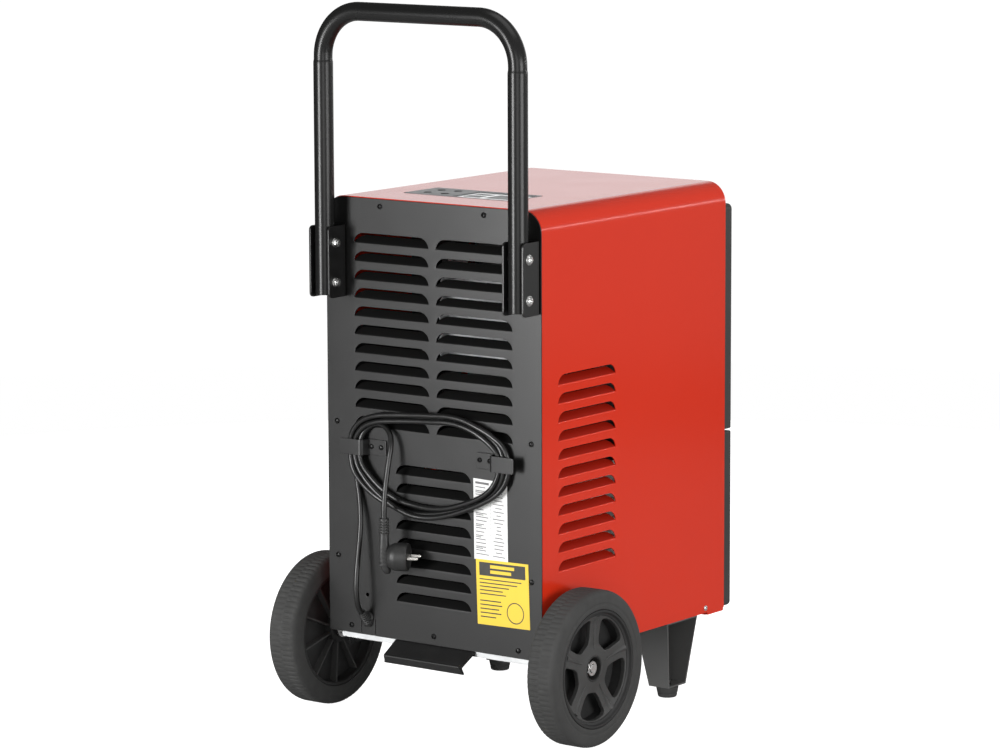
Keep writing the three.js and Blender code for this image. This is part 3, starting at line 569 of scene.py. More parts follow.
# ------------------------------------------------------------------ casing: folded, louvred at both sides
SIDE, FRONT, BACK, LOW, HIGH, BEND, T = 170.7, -225.9, 185.1, 109.0, 678.0, 28.0, 1.5
FLAT = HIGH - BEND - LOW
ARC = BEND * pi / 2
TOPW = 2 * (SIDE - BEND)
def make_casing():
    at, cuts, U = folder((SIDE, LOW), 90, [(FLAT, 0), (ARC, 90), (TOPW, 0), (ARC, 90), (FLAT, 0)], side=1, n=12)
    outer = rrect(0, U, FRONT, BACK - 1.8, 2.0, 3)
    holes, hinge, flaps = [], [], []
    for i in range(11):
        z = 455 - 23.74 * i
        for frame2 in (((z - LOW, 24.5), (0, 1), (1, 0)), ((U - (z - LOW), 24.5), (0, 1), (-1, 0))):
            hinge.append((len(holes), 0))
            holes.append(slot_loop(*frame2, 125.0))
            flaps.append(frame2)
    x2u = lambda x: FLAT + ARC + (SIDE - BEND - x)
    holes.append(rrect(x2u(99.5), x2u(-72.5), 43, 118, 5, 5))
    bm = sheet_bm(outer, holes, T, 0.35, 2, hinge)
    for f in flaps:
        add_flap(bm, *f, 125.0)
    def fn(u, v, d):
        P, N = at(u)
        q = P + N * d
        return Vector((q.x, v, q.y))
    remap(bm, fn, cuts)
    return emit("casing", bm, "red", smooth=38, replaces=("casing_shell",))
casing = make_casing()

# bottom lip across the front and its return hems; the screws that hold them are made with the rear panel's screws
def make_lip():
    at, cuts, U = folder((-0.0, 0.0), 0, [(36.5, 0), (1.9, 45), (1.9, 45), (3.2, 0)], side=1, n=3)
    bm = sheet_bm(rrect(0, U, -168.6, 168.6, 3, 4), (), 1.5, 0.3, 2)
    def fn(u, v, d):
        P, N = at(u)
        q = P + N * d
        return Vector((v, -186.2 - q.x, 105.3 + q.y))
    remap(bm, fn, cuts)
    for k in (-1, 1):
        b2 = sheet_bm(rrect(FRONT + 1.5, -187, 105.4, 111.5, 1.5, 3), (), 1.4, 0.25, 2)
        for v in b2.verts:
            v.co = Vector((k * (170.5 - v.co.z), v.co.x, v.co.y))
        me = bpy.data.meshes.new("tmp")
        b2.to_mesh(me)
        b2.free()
        bm.from_mesh(me)
        bpy.data.meshes.remove(me)
    return emit("front_lip", bm, "red", smooth=38)
make_lip()

# ------------------------------------------------------------------ rear panel: louvred, satin black
def absorb(bm, other):
    me = bpy.data.meshes.new("tmp")
    other.to_mesh(me)
    other.free()
    bm.from_mesh(me)
    bpy.data.meshes.remove(me)

def make_rear():
    r, top, w = 27.5, 677.0, SIDE - 0.1
    outer = rrect(-w, w, LOW, top, [1.5, 1.5, r, r], 14)
    holes, hinge, flaps = [], [], []
    def louvre(a, z):
        hinge.append((len(holes), 0))
        holes.append(slot_loop((a, z), (1, 0), (0, 1), 120.0, 14.0, 15.5))
        flaps.append(((a, z), (1, 0), (0, 1)))
    for i in range(11):
        louvre(5.5, 618 - 23.65 * i)
        louvre(-126.0, 618 - 23.65 * i)
    for i in range(8):
        louvre(-60.0, 324.2 - 23.68 * i)
    holes.append(circle(107.9, 162, 2.6, 20))
    holes.append(circle(106.5, 132, 6.4, 28))
    for x in (95.4, 118.2):
        holes.append(rrect(x - 0.45, x + 0.45, 110.2, 130.5, 0.4, 2))
    bm = sheet_bm(outer, holes, T, 0.35, 2, hinge)
    for f in flaps:
        add_flap(bm, *f, 120.0, 14.0, 15.5)
    remap(bm, lambda u, v, d: Vector((u, BACK - d, v)))
    return emit("rear_sheet", bm, "grey", smooth=38, replaces=("rear_panel",))
make_rear()

def make_rear_screws():
    bm = bmesh.new()
    pts = [(82.4, 667.5), (-82.4, 667.5), (155, 385), (-155, 385), (155, 209.5), (-155, 209.5), (134, 119.2), (-134, 119.2), (0, 120.6)]
    for i, (x, z) in enumerate(pts):
        add_screw(bm, (x, BACK - 0.05, z), "y", 3.7, 2.4, spin=i * 0.7)
    emit("rear_screws", bm, "screw", smooth=50, wn=False)
    bm = bmesh.new()
    for x, z in ((81.6, 357.5), (97.1, 357.5), (-76.2, 357.5), (-92.0, 357.5)):
        add_screw(bm, (x, BACK + 2.25, z), "y", 3.4, 2.2, spin=x)
    emit("hook_screws", bm, "screw", smooth=50, wn=False)
    bm = bmesh.new()
    for k in (-1, 1):
        add_screw(bm, (k * 170.75, -181.5, 115.7), "x" if k > 0 else "-x", 3.6, 2.0, spin=0.4)
    emit("side_screws", bm, "steel", smooth=50, wn=False)
    bm = bmesh.new()
    for k in (-1, 1):
        add_screw(bm, (k * 156.0, -214.0, 105.2), "-z", 3.4, 2.0, spin=0.3)
    emit("lip_screws", bm, "screw", smooth=50, wn=False)
make_rear_screws()

# ------------------------------------------------------------------ stickers: blank tables and bars, no lettering
def quad(bm, c, s, t, y, a, b, e, f, th=0.12):
    """A thin printed patch on a sticker: c corner, s and t its edge vectors, fractions a..b and e..f."""
    vs = []
    for yy in (y, y + th):
        for p, q in ((a, e), (b, e), (b, f), (a, f)):
            v = Vector(c) + Vector(s) * p + Vector(t) * q
            vs.append((v.x, yy, v.y))
    add_faces(bm, vs, [(0, 1, 2, 3), (7, 6, 5, 4), (0, 4, 5, 1), (1, 5, 6, 2), (2, 6, 7, 3), (3, 7, 4, 0)])

def make_stickers():
    y = BACK + 0.02
    # white: upper left, along, down
    c, s, t = (-64.2, 333.0), (-52.8, -1.3), (-1.2, -103.4)
    bm = bmesh.new()
    quad(bm, c, s, t, y, 0, 1, 0, 1, 0.16)
    emit("sticker_plain", bm, "sticker", smooth=30, wn=False)
    bm = bmesh.new()
    yy = y + 0.17
    quad(bm, c, s, t, yy, 0.06, 0.46, 0.035, 0.062, 0.03)
    quad(bm, c, s, t, yy, 0.52, 0.80, 0.035, 0.062, 0.03)
    row = 0.095
    k = 0
    while row < 0.95:
        wl = 0.22 + 0.16 * rnd.random()
        quad(bm, c, s, t, yy, 0.06, 0.06 + wl, row, row + 0.011, 0.03)
        if k % 3 == 1:
            quad(bm, c, s, t, yy, 0.06, 0.06 + wl * 0.7, row + 0.019, row + 0.029, 0.03)
        wr = 0.12 + 0.24 * rnd.random()
        quad(bm, c, s, t, yy, 0.74 - wr / 2, 0.74 + wr / 2, row + 0.002, row + 0.013, 0.03)
        quad(bm, c, s, t, yy, 0.03, 0.97, row + 0.034, row + 0.0355, 0.03)
        row += 0.046
        k += 1
    quad(bm, c, s, t, yy, 0.50, 0.505, 0.08, 0.95, 0.03)
    emit("sticker_plain_rules", bm, "ink", smooth=30, wn=False)
    # yellow: a dark band over plain bars, and an empty panel
    c, s, t = (-67.9, 230.0), (-82.0, 1.6), (-2.7, -83.6)
    bm = bmesh.new()
    quad(bm, c, s, t, y + 0.2, 0, 1, 0, 1, 0.16)
    emit("sticker_yellow", bm, "yellow", smooth=30, wn=False)
    bm = bmesh.new()
    yy = y + 0.37
    quad(bm, c, s, t, yy, 0.06, 0.94, 0.04, 0.245, 0.03)
    for q in range(5):
        quad(bm, c, s, t, yy, 0.06, 0.06 + (0.80, 0.72, 0.56, 0.44, 0.50)[q], 0.292 + 0.056 * q, 0.309 + 0.056 * q, 0.03)
    for q in range(5):
        quad(bm, c, s, t, yy, 0.06, 0.06 + (0.40, 0.42, 0.36, 0.40, 0.30)[q], 0.62 + 0.062 * q, 0.638 + 0.062 * q, 0.03)
    # an empty ring in the corner, in place of any pictogram
    cx, cz = 0.73, 0.775
    pts = []
    for r in (0.165, 0.148):
        pts.append([Vector(c) + Vector(s) * (cx + r * cos(2 * pi * i / 36)) + Vector(t) * (cz + r * sin(2 * pi * i / 36)) for i in range(36)])
    vs = [(p.x, yy + h, p.y) for h in (0.0, 0.03) for ring in pts for p in ring]
    fs = []
    for i in range(36):
        j = (i + 1) % 36
        fs += [(i, j, 36 + j, 36 + i), (72 + i, 108 + i, 108 + j, 72 + j), (i, 72 + i, 72 + j, j), (36 + i, 36 + j, 108 + j, 108 + i)]
    add_faces(bm, vs, fs)
    emit("sticker_yellow_bars", bm, "inkdark", smooth=30, wn=False)
    bm = bmesh.new()
    for q in range(2):
        quad(bm, c, s, t, yy + 0.04, 0.27, 0.73 - 0.06 * q, 0.075 + 0.08 * q, 0.125 + 0.08 * q, 0.03)
    emit("sticker_band_bars", bm, "yellow", smooth=30, wn=False)
make_stickers()

# ------------------------------------------------------------------ push handle
def make_handle():
    X, Y, R = 153.3, 209.1, 59.0
    zb, top = 857.0, 916.0
    pts, rs = [], []
    big, small = 12.7, 12.05
    def leg(k):
        out = [((k * X, Y, z), big) for z in (553.0, 553.6)]
        out += [((k * X, Y, z), big) for z in (640, 740, 820, 846, 849)]
        out += [((k * X, Y, z), r) for z, r in ((850.5, big - 0.12), (852.0, small + 0.2), (853.5, small), (856.0, small))]
        return out
    left = leg(-1)
    arc1 = [((-X + R - R * cos(a), Y, zb + R * sin(a)), small) for a in [pi / 2 * i / 20 for i in range(21)]]
    arc2 = [((X - R + R * cos(a), Y, zb + R * sin(a)), small) for a in [pi / 2 * (1 - i / 20) for i in range(21)]]
    mid = [((x, Y, top), small) for x in (-60, 0, 60)]
    allp = left + arc1 + mid + arc2 + leg(1)[::-1]
    bm = bmesh.new()
    add_tube(bm, [p for p, _ in allp], [r for _, r in allp], 40, caps=False)
    # open tube ends: wall and bore
    for k in (-1, 1):
        m = Matrix.Translation((k * X, Y, 553.0))
        rings = [[bm.verts.new(m @ Vector((r * cos(2 * pi * i / 40), r * sin(2 * pi * i / 40), z))) for i in range(40)] for r, z in ((12.7, 0), (12.4, -0.3), (11.4, -0.3), (11.2, 0), (11.2, 30))]
        for a, b in zip(rings, rings[1:]):
            for i in range(40):
                j = (i + 1) % 40
                bm.faces.new((a[i], a[j], b[j], b[i]))
        bm.faces.new(rings[-1])
    emit("push_handle", bm, "handle", smooth=50, wn=False, replaces=("handle_tube",), merge=0.02)
make_handle()

def make_brackets():
    x0, x1, y0, y1, z0, z1, t, R = 137.0, 169.7, 185.4, 221.5, 549.0, 641.0, 2.8, 4.5
    f = y1 - y0 - R
    at, cuts, U = folder((x1, y1), 270, [(f, 0), (R * pi / 2, -90), (x1 - x0 - 2 * R, 0), (R * pi / 2, -90), (f, 0)], side=-1, n=6)
    outer = rrect(0, U, z0, z1, 6.0, 6)
    holes = []
    for z in (569, 620):
        for u in (y1 - 209.1, U - (y1 - 209.1)):
            holes.append(circle(u, z, 3.4, 20))
    for z in (577, 612):
        holes.append(circle(U / 2, z, 2.6, 16))
    bm = sheet_bm(outer, holes, t, 0.45, 2)
    def fn(u, v, d):
        P, N = at(u)
        q = P + N * d
        return Vector((q.x, q.y, v))
    remap(bm, fn, cuts)
    other = mirror(bm)
    emit("bracket_left", bm, "grey", smooth=38, replaces=("handle_bracket_left",))
    emit("bracket_right", other, "grey", smooth=38, replaces=("handle_bracket_right",))
    # bolts: socket button head and washer outside, nut, washer and thread end inside
    for side, k in (("left", 1), ("right", -1)):
        for where, z in (("lower", 569.0), ("upper", 620.0)):
            bm = bmesh.new()
            ax = "x" if k > 0 else "-x"
            add_lathe(bm, soften([(0, 0.0), (6.6, 0.0), (6.6, 0.9), (0, 0.9)], 0.2), ax, (k * 169.75, 209.1, z), 28)
            add_lathe(bm, soften([(5.4, 0.0), (5.4, 0.8), (4.6, 2.4), (2.9, 3.2), (2.6, 3.1), (2.5, 1.6), (0, 1.5)], 0.35), ax, (k * 170.6, 209.1, z), 28)
            add_lathe(bm, soften([(0, 0), (6.4, 0), (6.4, 0.9), (0, 0.9)], 0.2), "x" if k < 0 else "-x", (k * 136.95, 209.1, z), 28)
            add_nut(bm, (k * 136.05, 209.1, z), "x" if k < 0 else "-x", 10.0, 4.2, bore=3.0, spin=0.3 + z)
            add_lathe(bm, [(0, 0), (2.95, 0), (2.95, 38.8), (2.5, 39.4), (0, 39.4)], "x" if k < 0 else "-x", (k * 170.2, 209.1, z), 20)
            emit("bolt_%s_%s" % (side, where), bm, "steel", smooth=40, wn=False, replaces=("handle_bolt_%s_%s" % (side, where),))
make_brackets()

# ------------------------------------------------------------------ wheels
AY, AZ = 143.5, 100.0
def make_wheel(side):
    k = 1 if side == "left" else -1
    body = "wheel_" + side
    m = Matrix(((0, 0, k, 0), (1, 0, 0, AY), (0, 1, 0, AZ), (0, 0, 0, 1)))  # local x->Y, y->Z, z->+-X
    # tyre: rounded carcass with two staggered rows of grooves
    pitch, per = 84, 6
    seg = pitch * per
    prof = [(76.0, 186.7), (79.5, 186.0), (83.0, 185.9), (90.0, 186.2), (95.0, 187.2), (97.6, 188.8), (99.2, 190.6), (99.9, 193.0), (100.0, 196.5), (100.0, 200.5), (100.0, 204.6), (100.0, 206.2), (100.0, 207.2), (100.0, 208.8), (100.0, 213.5), (100.0, 219.0), (99.95, 221.4), (99.6, 223.4), (98.7, 225.3), (97.2, 226.8), (95.0, 227.8), (91.0, 228.5), (86.0, 228.9), (84.4, 229.0), (83.6, 228.4), (82.6, 228.3), (81.6, 228.9), (79.0, 228.8), (76.6, 228.4), (76.0, 227.9)]
    deep = {5: .25, 6: .7, 7: 1.0, 8: 1.15, 9: 1.2, 10: 1.15, 11: .5}
    deep2 = {12: .35, 13: .75, 14: .85, 15: .75, 16: .4, 17: .12}
    def mod(i, a):
        ph = (a / (2 * pi) * pitch) % 1.0
        if i in deep:
            return -deep[i] * (1.0 if ph < 0.26 else 0.0)
        if i in deep2:
            return -deep2[i] * (1.0 if 0.49 < ph < 0.76 else 0.0)
        return 0.0
    bm = bmesh.new()
    add_lathe(bm, prof, seg=seg, closed=True, mat=m, mod=mod)
    emit("tyre_" + side + "_tread", bm, "tyre", body, smooth=42, wn=False, replaces=("tyre_" + side,))
    # rim: dished face with five deep pockets
    outer = circle(0, 0, 68.0, 96)
    windows = []
    for i in range(5):
        a0 = 50 + 72 * i
        c = Vector((cos(rad(a0)), sin(rad(a0))))
        s = Vector((-c.y, c.x))
        raw = [(31.5, 8.5), (37.5, 14.8), (56.5, 26.5), (61.3, 21.5), (65.0, 10.5), (65.9, 0.0), (65.0, -10.5), (61.3, -21.5), (56.5, -26.5), (37.5, -14.8), (31.5, -8.5)]
        pts = [c * r + s * t for r, t in raw]
        # rounded corners
        rp, n = [], len(pts)
        for j in range(n):
            p0, p1, p2 = pts[j - 1], pts[j], pts[(j + 1) % n]
            q = 3.4 if j in (0, 1, 2, 8, 9, 10) else 1.2
            s1 = p1 + (p0 - p1).normalized() * min(q, (p0 - p1).length * 0.45)
            e1 = p1 + (p2 - p1).normalized() * min(q, (p2 - p1).length * 0.45)
            for h in range(4):
                f = h / 3
                rp.append(s1 * (1 - f) ** 2 + p1 * 2 * f * (1 - f) + e1 * f ** 2)
        windows.append([(-p.x, p.y) for p in rp])
    hub = circle(0, 0, 16.6, 40)
    bm = sheet_bm(outer, windows + [hub], 6.5, 1.1, 3, back=True)
    # square grid cuts let the dish follow the radius
    for c in [x * 7.5 for x in range(-9, 10)]:
        for no in ((1, 0, 0), (0, 1, 0)):
            bmesh.ops.bisect_plane(bm, geom=bm.verts[:] + bm.edges[:] + bm.faces[:], dist=1e-4, plane_co=(c, c, 0), plane_no=no)
    def dish(r):
        if r < 17: return 221.6
        if r < 30: return 221.6 - 2.6 * (r - 17) / 13
        if r < 58: return 219.0 + 1.8 * ((r - 30) / 28)
        return 220.8 + 3.0 * min(1.0, (r - 58) / 9)
    for v in bm.verts:
        u, w, d = v.co
        r = math.hypot(u, w)
        d = min(d, 1.1) if d < 1.2 else d
        v.co = m @ Vector((u, w, dish(r) - d))
    emit("rim_face_" + side, bm, "wheel", body, smooth=32, wn=True, replaces=("wheel_rim_" + side,))
    # rim ring, drum, hub and the closed web behind the pockets
    bm = bmesh.new()
    ring = [(75.6, 188.0), (75.6, 227.0), (75.0, 228.2), (73.6, 228.6), (72.2, 228.2), (71.6, 227.0), (70.8, 225.4), (69.6, 224.8), (68.0, 224.0), (67.2, 221.0), (66.9, 203.5), (60.0, 202.2), (30.0, 200.4), (18.0, 200.2), (17.2, 200.8), (17.0, 221.0), (15.6, 221.8), (14.6, 221.2), (14.2, 206.9), (7.2, 206.8), (6.6, 206.2), (6.6, 187.6), (7.4, 187.0), (16.6, 187.0), (17.4, 187.8), (18.0, 197.6), (30.0, 197.9), (60.0, 199.6), (69.0, 200.8), (70.6, 198.0), (71.0, 188.6), (72.2, 187.6), (74.8, 187.5)]
    add_lathe(bm, ring, seg=96, closed=True, mat=m)
    # the drum, hub and web take the painted-shade copy of the wheel plastic
    emit("rim_drum_" + side, bm, "wheel_painted_shade", body, smooth=34, wn=False)
    # radial ribs: inside the drum, and raised creases on the spokes
    bm = bmesh.new()
    for i in range(10):
        a = rad(14 + 36 * i)
        c, s = Vector((cos(a), sin(a))), Vector((-sin(a), cos(a)))
        loop = [(17.0, 190.0), (70.8, 190.0), (70.8, 201.6), (17.0, 199.0)]
        vs = []
        for w in (-1.1, 1.1):
            for r, x in loop:
                p = c * r + s * w
                vs.append((-p.x, p.y, x))
        add_faces(bm, vs, [(0, 1, 2, 3), (7, 6, 5, 4), (0, 4, 5, 1), (1, 5, 6, 2), (2, 6, 7, 3), (3, 7, 4, 0)], m)
    for i in range(5):
        a = rad(14 + 72 * i)
        c, s = Vector((cos(a), sin(a))), Vector((-sin(a), cos(a)))
        sec = []
        for r in (24.0, 28.0, 36.0, 46.0, 56.0, 62.0, 66.5):
            f = (r - 24.0) / 42.5
            hw, ht = 0.5 + 4.6 * f, 0.2 + 1.9 * math.sqrt(f)
            base = dish(r)
            row = []
            for w, h in ((-hw, -0.6), (-hw * 0.45, ht * 0.72), (0, ht), (hw * 0.45, ht * 0.72), (hw, -0.6)):
                p = c * r + s * w
                row.append(bm.verts.new(m @ Vector((-p.x, p.y, base + h))))
            sec.append(row)
        for r0, r1 in zip(sec, sec[1:]):
            for q in range(5):
                j = (q + 1) % 5
                bm.faces.new((r0[q], r0[j], r1[j], r1[q]))
        bm.faces.new(sec[0])
        bm.faces.new(sec[-1])
    emit("rim_ribs_" + side, bm, "wheel", body, smooth=30, wn=False)
make_wheel("left")
make_wheel("right")

def make_axle():
    bm = bmesh.new()
    for k in (1, -1):
        ax = "x" if k > 0 else "-x"
        add_lathe(bm, [(0, 0), (6.0, 0), (6.0, 219.2), (5.2, 220.4), (0, 220.4)], ax, (0, AY, AZ), 32)
        add_lathe(bm, soften([(6.0, 0), (10.5, 0), (10.5, 2.6), (6.0, 2.6)], 0.5), ax, (k * 181.9, AY, AZ), 36, closed=True)
    emit("axle_rod", bm, "steel", smooth=40, wn=False, replaces=("axle",))
    for side, k in (("left", 1), ("right", -1)):
        ax = "x" if k > 0 else "-x"
        bm = bmesh.new()
        add_lathe(bm, soften([(6.3, 0), (12.5, 0), (12.5, 1.6), (6.3, 1.6)], 0.35), ax, (k * 207.4, AY, AZ), 40, closed=True)
        add_lathe(bm, soften([(6.3, 0), (10.0, 0), (10.2, 1.4), (6.3, 1.6)], 0.3), ax, (k * 209.1, AY, AZ), 40, closed=True)
        add_nut(bm, (k * 210.6, AY, AZ), ax, 18.6, 8.2, bore=6.05, spin=0.35)
        emit("axle_nut_set_" + side, bm, "steel", smooth=38, wn=False, replaces=("axle_nut_" + side,))
make_axle()

# ------------------------------------------------------------------ mains cord, hooks, gland, plug
WIND = [(118.2, 346), (118.5, 360), (115.8, 373.5), (103.5, 388), (82, 396), (55, 399.5), (25, 402), (-5, 404), (-30, 405.3), (-52, 403.3), (-74, 397), (-97.5, 385.5), (-111.5, 374), (-116.3, 360), (-116.3, 346), (-111.5, 332), (-101.5, 319), (-84, 307.5), (-60, 297), (-30, 286.5), (0, 280), (28, 278.3), (55, 282.5), (80, 293.5), (101, 311), (114, 330)]
TURNS = [
    {0: (3.6, 188.9), 1: (3.6, 188.9), 2: (3.8, 188.9), 3: (3.9, 188.9), 4: (3.9, 188.9), 5: (2.5, 188.9), 6: (0, 188.9), 10: (0, 188.9), 11: (0, 189.5), 12: (0, 191), 13: (0, 191.6), 14: (0, 191.6), 15: (0, 190.7), 16: (0, 189.4), 17: (0, 188.9), 21: (0, 188.9), 22: (0.5, 188.9), 23: (3.0, 190.5), 24: (5.5, 194), 25: (7.0, 196.2)},
    {0: (7.2, 195.1), 1: (7.2, 195.1), 2: (6.0, 195.8), 3: (4.2, 196.3), 4: (4.0, 196.3), 5: (3.9, 195.6), 6: (3.9, 194.9), 10: (3.9, 194.9), 11: (5.2, 193.9), 12: (6.6, 192.6), 13: (7.2, 191.6), 14: (7.2, 191.6), 15: (6.6, 192.6), 16: (5.0, 194.2), 17: (3.9, 194.9), 20: (3.9, 195.2), 21: (1.5, 196.2), 22: (-2.5, 196.2), 23: (-4.2, 195.6), 24: (-3.0, 195.3), 25: (-1, 195.2)},
    {0: (0, 195.1), 1: (0, 195.1), 2: (-2.0, 195.8), 3: (-3.7, 196.3), 4: (-3.9, 196.3), 5: (-3.9, 195.6), 6: (-3.9, 194.9), 10: (-3.9, 194.9), 11: (-5.2, 193.9), 12: (-6.6, 192.6), 13: (-7.2, 191.6), 14: (-7.2, 191.6), 15: (-6.6, 192.6), 16: (-5.2, 194.2), 17: (-3.9, 194.9), 18: (-3.9, 194.9), 19: (-5.0, 194.3), 20: (-8, 193), 21: (-11, 192), 22: (-11.5, 192), 23: (-11.5, 192.5), 24: (-10.5, 193.5), 25: (-8.5, 194.8)},
]
LEAD = [(106.5, 198.6, 140.6), (106.5, 201.2, 143.2), (106.4, 206.6, 151), (106.3, 209.3, 162), (106.6, 209.8, 174), (107, 208.4, 191), (107.6, 204.6, 212.5), (108, 200.6, 234), (109.2, 196.6, 255), (112.4, 192.6, 278), (116.5, 189.8, 296), (120.4, 188.9, 313), (121.9, 188.9, 330)]
TAIL = [(111, 195.1, 347), (110.9, 194.6, 358), (108.9, 192.4, 371.0), (103.0, 190.0, 380.0), (94.0, 189.0, 385.9), (83.5, 188.9, 388), (73.0, 190.2, 385.9), (64.1, 193.0, 380.0), (58.1, 196.6, 371.0), (56.0, 200.5, 360.5), (56, 204.6, 345), (56, 208.6, 328), (55.8, 212.2, 311), (55.5, 214.8, 296), (55.2, 216.2, 283), (55, 216.5, 271.5)]
def cord_route():
    pts = list(LEAD)
    n = len(WIND)
    for turn in TURNS:
        keys = sorted(turn)
        for i in range(n):
            lo = max(k for k in keys if k <= i)
            hi = min([k for k in keys if k >= i] or [lo])
            f = 0 if hi == lo else (i - lo) / (hi - lo)
            o = turn[lo][0] * (1 - f) + turn[hi][0] * f
            y = turn[lo][1] * (1 - f) + turn[hi][1] * f
            p, q = Vector(WIND[i - 1]), Vector(WIND[(i + 1) % n])
            d = (q - p).normalized()
            nrm = Vector((d.y, -d.x))
            c = Vector(WIND[i]) + nrm * o
            pts.append((c.x, y, c.y))
    pts += TAIL
    return pts
route, cord_len = spline(cord_route(), 620)
curve = bpy.data.curves.new("mains_cord", "CURVE")
curve.dimensions = "3D"
curve.bevel_depth = 3.5 * MM
curve.bevel_resolution = 7
curve.use_fill_caps = True
sp = curve.splines.new("POLY")
sp.points.add(len(route) - 1)
for q, p in zip(sp.points, route):
    q.co = (p.x * MM, p.y * MM, p.z * MM, 1.0)
sp.use_smooth = True
curve.materials.append(M["cord"])
cord_ob = bpy.data.objects.new("mains_cord", curve)
scene.collection.objects.link(cord_ob)
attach(cord_ob, "chassis")
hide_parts("cord_lead", "cord_coil", "cord_tail")

def make_gland():
    bm = bmesh.new()
    # locknut and flange on the panel
    add_lathe(bm, soften([(0, -3.0), (6.1, -3.0), (6.1, 0.1), (8.6, 0.1), (8.6, 1.7), (7.4, 3.2), (0, 3.2)], 0.5), "y", (106.5, BACK, 132.0), 40)
    add_nut(bm, (106.5, 180.4, 132.0), "y", 15.0, 3.0, spin=0.2)
    # nose: ribbed, tapering, tilted up
    prof = [(0, -1.0), (7.6, -1.0), (7.6, 2.5)]
    for i in range(5):
        r = 7.4 - 0.42 * i
        z = 3.0 + 3.3 * i
        prof += [(r, z), (r, z + 1.7), (r - 1.1, z + 2.0), (r - 1.15, z + 3.0)]
    prof += [(5.2, 19.6), (4.7, 21.4), (3.7, 21.6), (3.6, 19.5), (0, 19.0)]
    d = Vector((0, cos(rad(45)), sin(rad(45))))
    tip = Vector((106.5, 198.6, 140.6))
    base = tip - d * 20.6
    m = Matrix.Translation(base) @ d.to_track_quat("Z", "X").to_matrix().to_4x4()
    b2 = bmesh.new()
    add_lathe(b2, soften(prof, 0.3, 2), mat=m, seg=36)
    bmesh.ops.bisect_plane(b2, geom=b2.verts[:] + b2.edges[:] + b2.faces[:], dist=1e-4, plane_co=(0, BACK + 0.1, 0), plane_no=(0, 1, 0), clear_inner=True)
    es = [e for e in b2.edges if e.is_boundary]
    bmesh.ops.contextual_create(b2, geom=es)
    absorb(bm, b2)
    emit("cord_entry", bm, "plug", smooth=40, wn=False, replaces=("cord_gland",))
make_gland()

def rr_section(w, h, r, n=5):
    return rrect(-w / 2, w / 2, -h / 2, h / 2, min(r, w / 2 - 0.01, h / 2 - 0.01), n)

def add_loft(bm, sections, mat=None):
    """Joins rings of equal count: sections are (list of (x, y), z)."""
    rings = [[bm.verts.new((mat @ Vector((x, y, z))) if mat is not None else (x, y, z)) for x, y in loop] for loop, z in sections]
    n = len(rings[0])
    for a, b in zip(rings, rings[1:]):
        for i in range(n):
            j = (i + 1) % n
            bm.faces.new((a[i], a[j], b[j], b[i]))
    bm.faces.new(rings[0])
    bm.faces.new(rings[-1])

def make_plug():
    m = Matrix.Translation((55, 216.5, 0)) @ Matrix.Rotation(rad(25), 4, "Z")
    bm = bmesh.new()
    # grip: soft rectangular stem that swells towards the head and tapers up into the sleeve
    secs = []
    for z, w, h, cx, r in ((201.6, 5.0, 8.0, -4.5, 2.4), (202.8, 8.0, 11.0, -3.8, 3.4), (207.5, 11.8, 13.6, -2.4, 4.4), (214, 13.0, 14.6, -1.0, 4.8), (226, 13.4, 14.6, -0.6, 4.8), (236, 12.6, 13.2, -0.2, 4.8), (245, 12.0, 12.2, 0, 5.2), (251, 11.8, 11.9, 0, 5.6), (253, 10.8, 10.8, 0, 5.2), (254, 9.0, 9.0, 0, 4.4)):
        secs.append(([(x + cx, y) for x, y in rr_section(w, h, r, 6)], z))
    add_loft(bm, secs, m)
    # recessed grip panels on both sides
    for k in (-1, 1):
        for i in range(5):
            z = 212 + 5.2 * i
            b3 = sheet_bm(rrect(-4.6, 4.6, z, z + 2.2, 1.0, 3), (), 0.9, 0.35, 2)
            for v in b3.verts:
                v.co = m @ Vector((v.co.x - 0.4, k * (7.55 - v.co.z), v.co.y))
            absorb(bm, b3)
    # head: round body with a stepped face and a domed back
    hm = m @ Matrix.Translation((0, 0, 223.5)) @ Matrix.Rotation(rad(-90), 4, "Y")
    prof = soften([(0, 4.3), (10.5, 4.5), (13.8, 6.2), (17.0, 11.0), (18.2, 16.0), (18.2, 29.6), (17.4, 32.0), (15.9, 32.0), (15.6, 30.4), (0, 30.4)], 1.0, 4)
    def flute(k, a):
        return 0.0
    add_lathe(bm, prof, mat=hm, seg=56)
    emit("plug_body", bm, "plug", smooth=42, wn=False, replaces=("power_plug",))
    # sleeve: tapered strain relief with rows of windows
    bm = bmesh.new()
    seg, lev = 84, 80
    def rr(z, a):
        f = (z - 252.6) / 20.0
        r = 7.0 - 0.9 * f
        row = ((z - 254.2) / 3.5) % 1.0
        inside = 254.2 < z < 271.4
        col = (a / (2 * pi) * 7) % 1.0
        if inside and row < 0.52 and 0.16 < col < 0.84:
            return r - 2.3
        return r
    rings = []
    for i in range(lev + 1):
        z = 252.6 + 20.2 * i / lev
        rings.append([bm.verts.new(m @ Vector((rr(z, 2 * pi * k / seg) * cos(2 * pi * k / seg), rr(z, 2 * pi * k / seg) * sin(2 * pi * k / seg), z))) for k in range(seg)])
    for a, b in zip(rings, rings[1:]):
        for k in range(seg):
            j = (k + 1) % seg
            bm.faces.new((a[k], a[j], b[j], b[k]))
    bm.faces.new(rings[0])
    bm.faces.new(rings[-1])
    emit("plug_sleeve", bm, "plug", smooth=30, wn=False)
    bm = bmesh.new()
    for y in (9.5, -9.5):
        pm = m @ Matrix.Translation((-26.0, y, 223.5)) @ Matrix.Rotation(rad(-90), 4, "Y")
        add_lathe(bm, [(0, 0), (2.4, 0), (2.4, 18.0), (1.9, 19.6), (1.1, 20.4), (0, 20.5)], mat=pm, seg=24)
    emit("plug_pins", bm, "brass", smooth=45, wn=False)
make_plug()
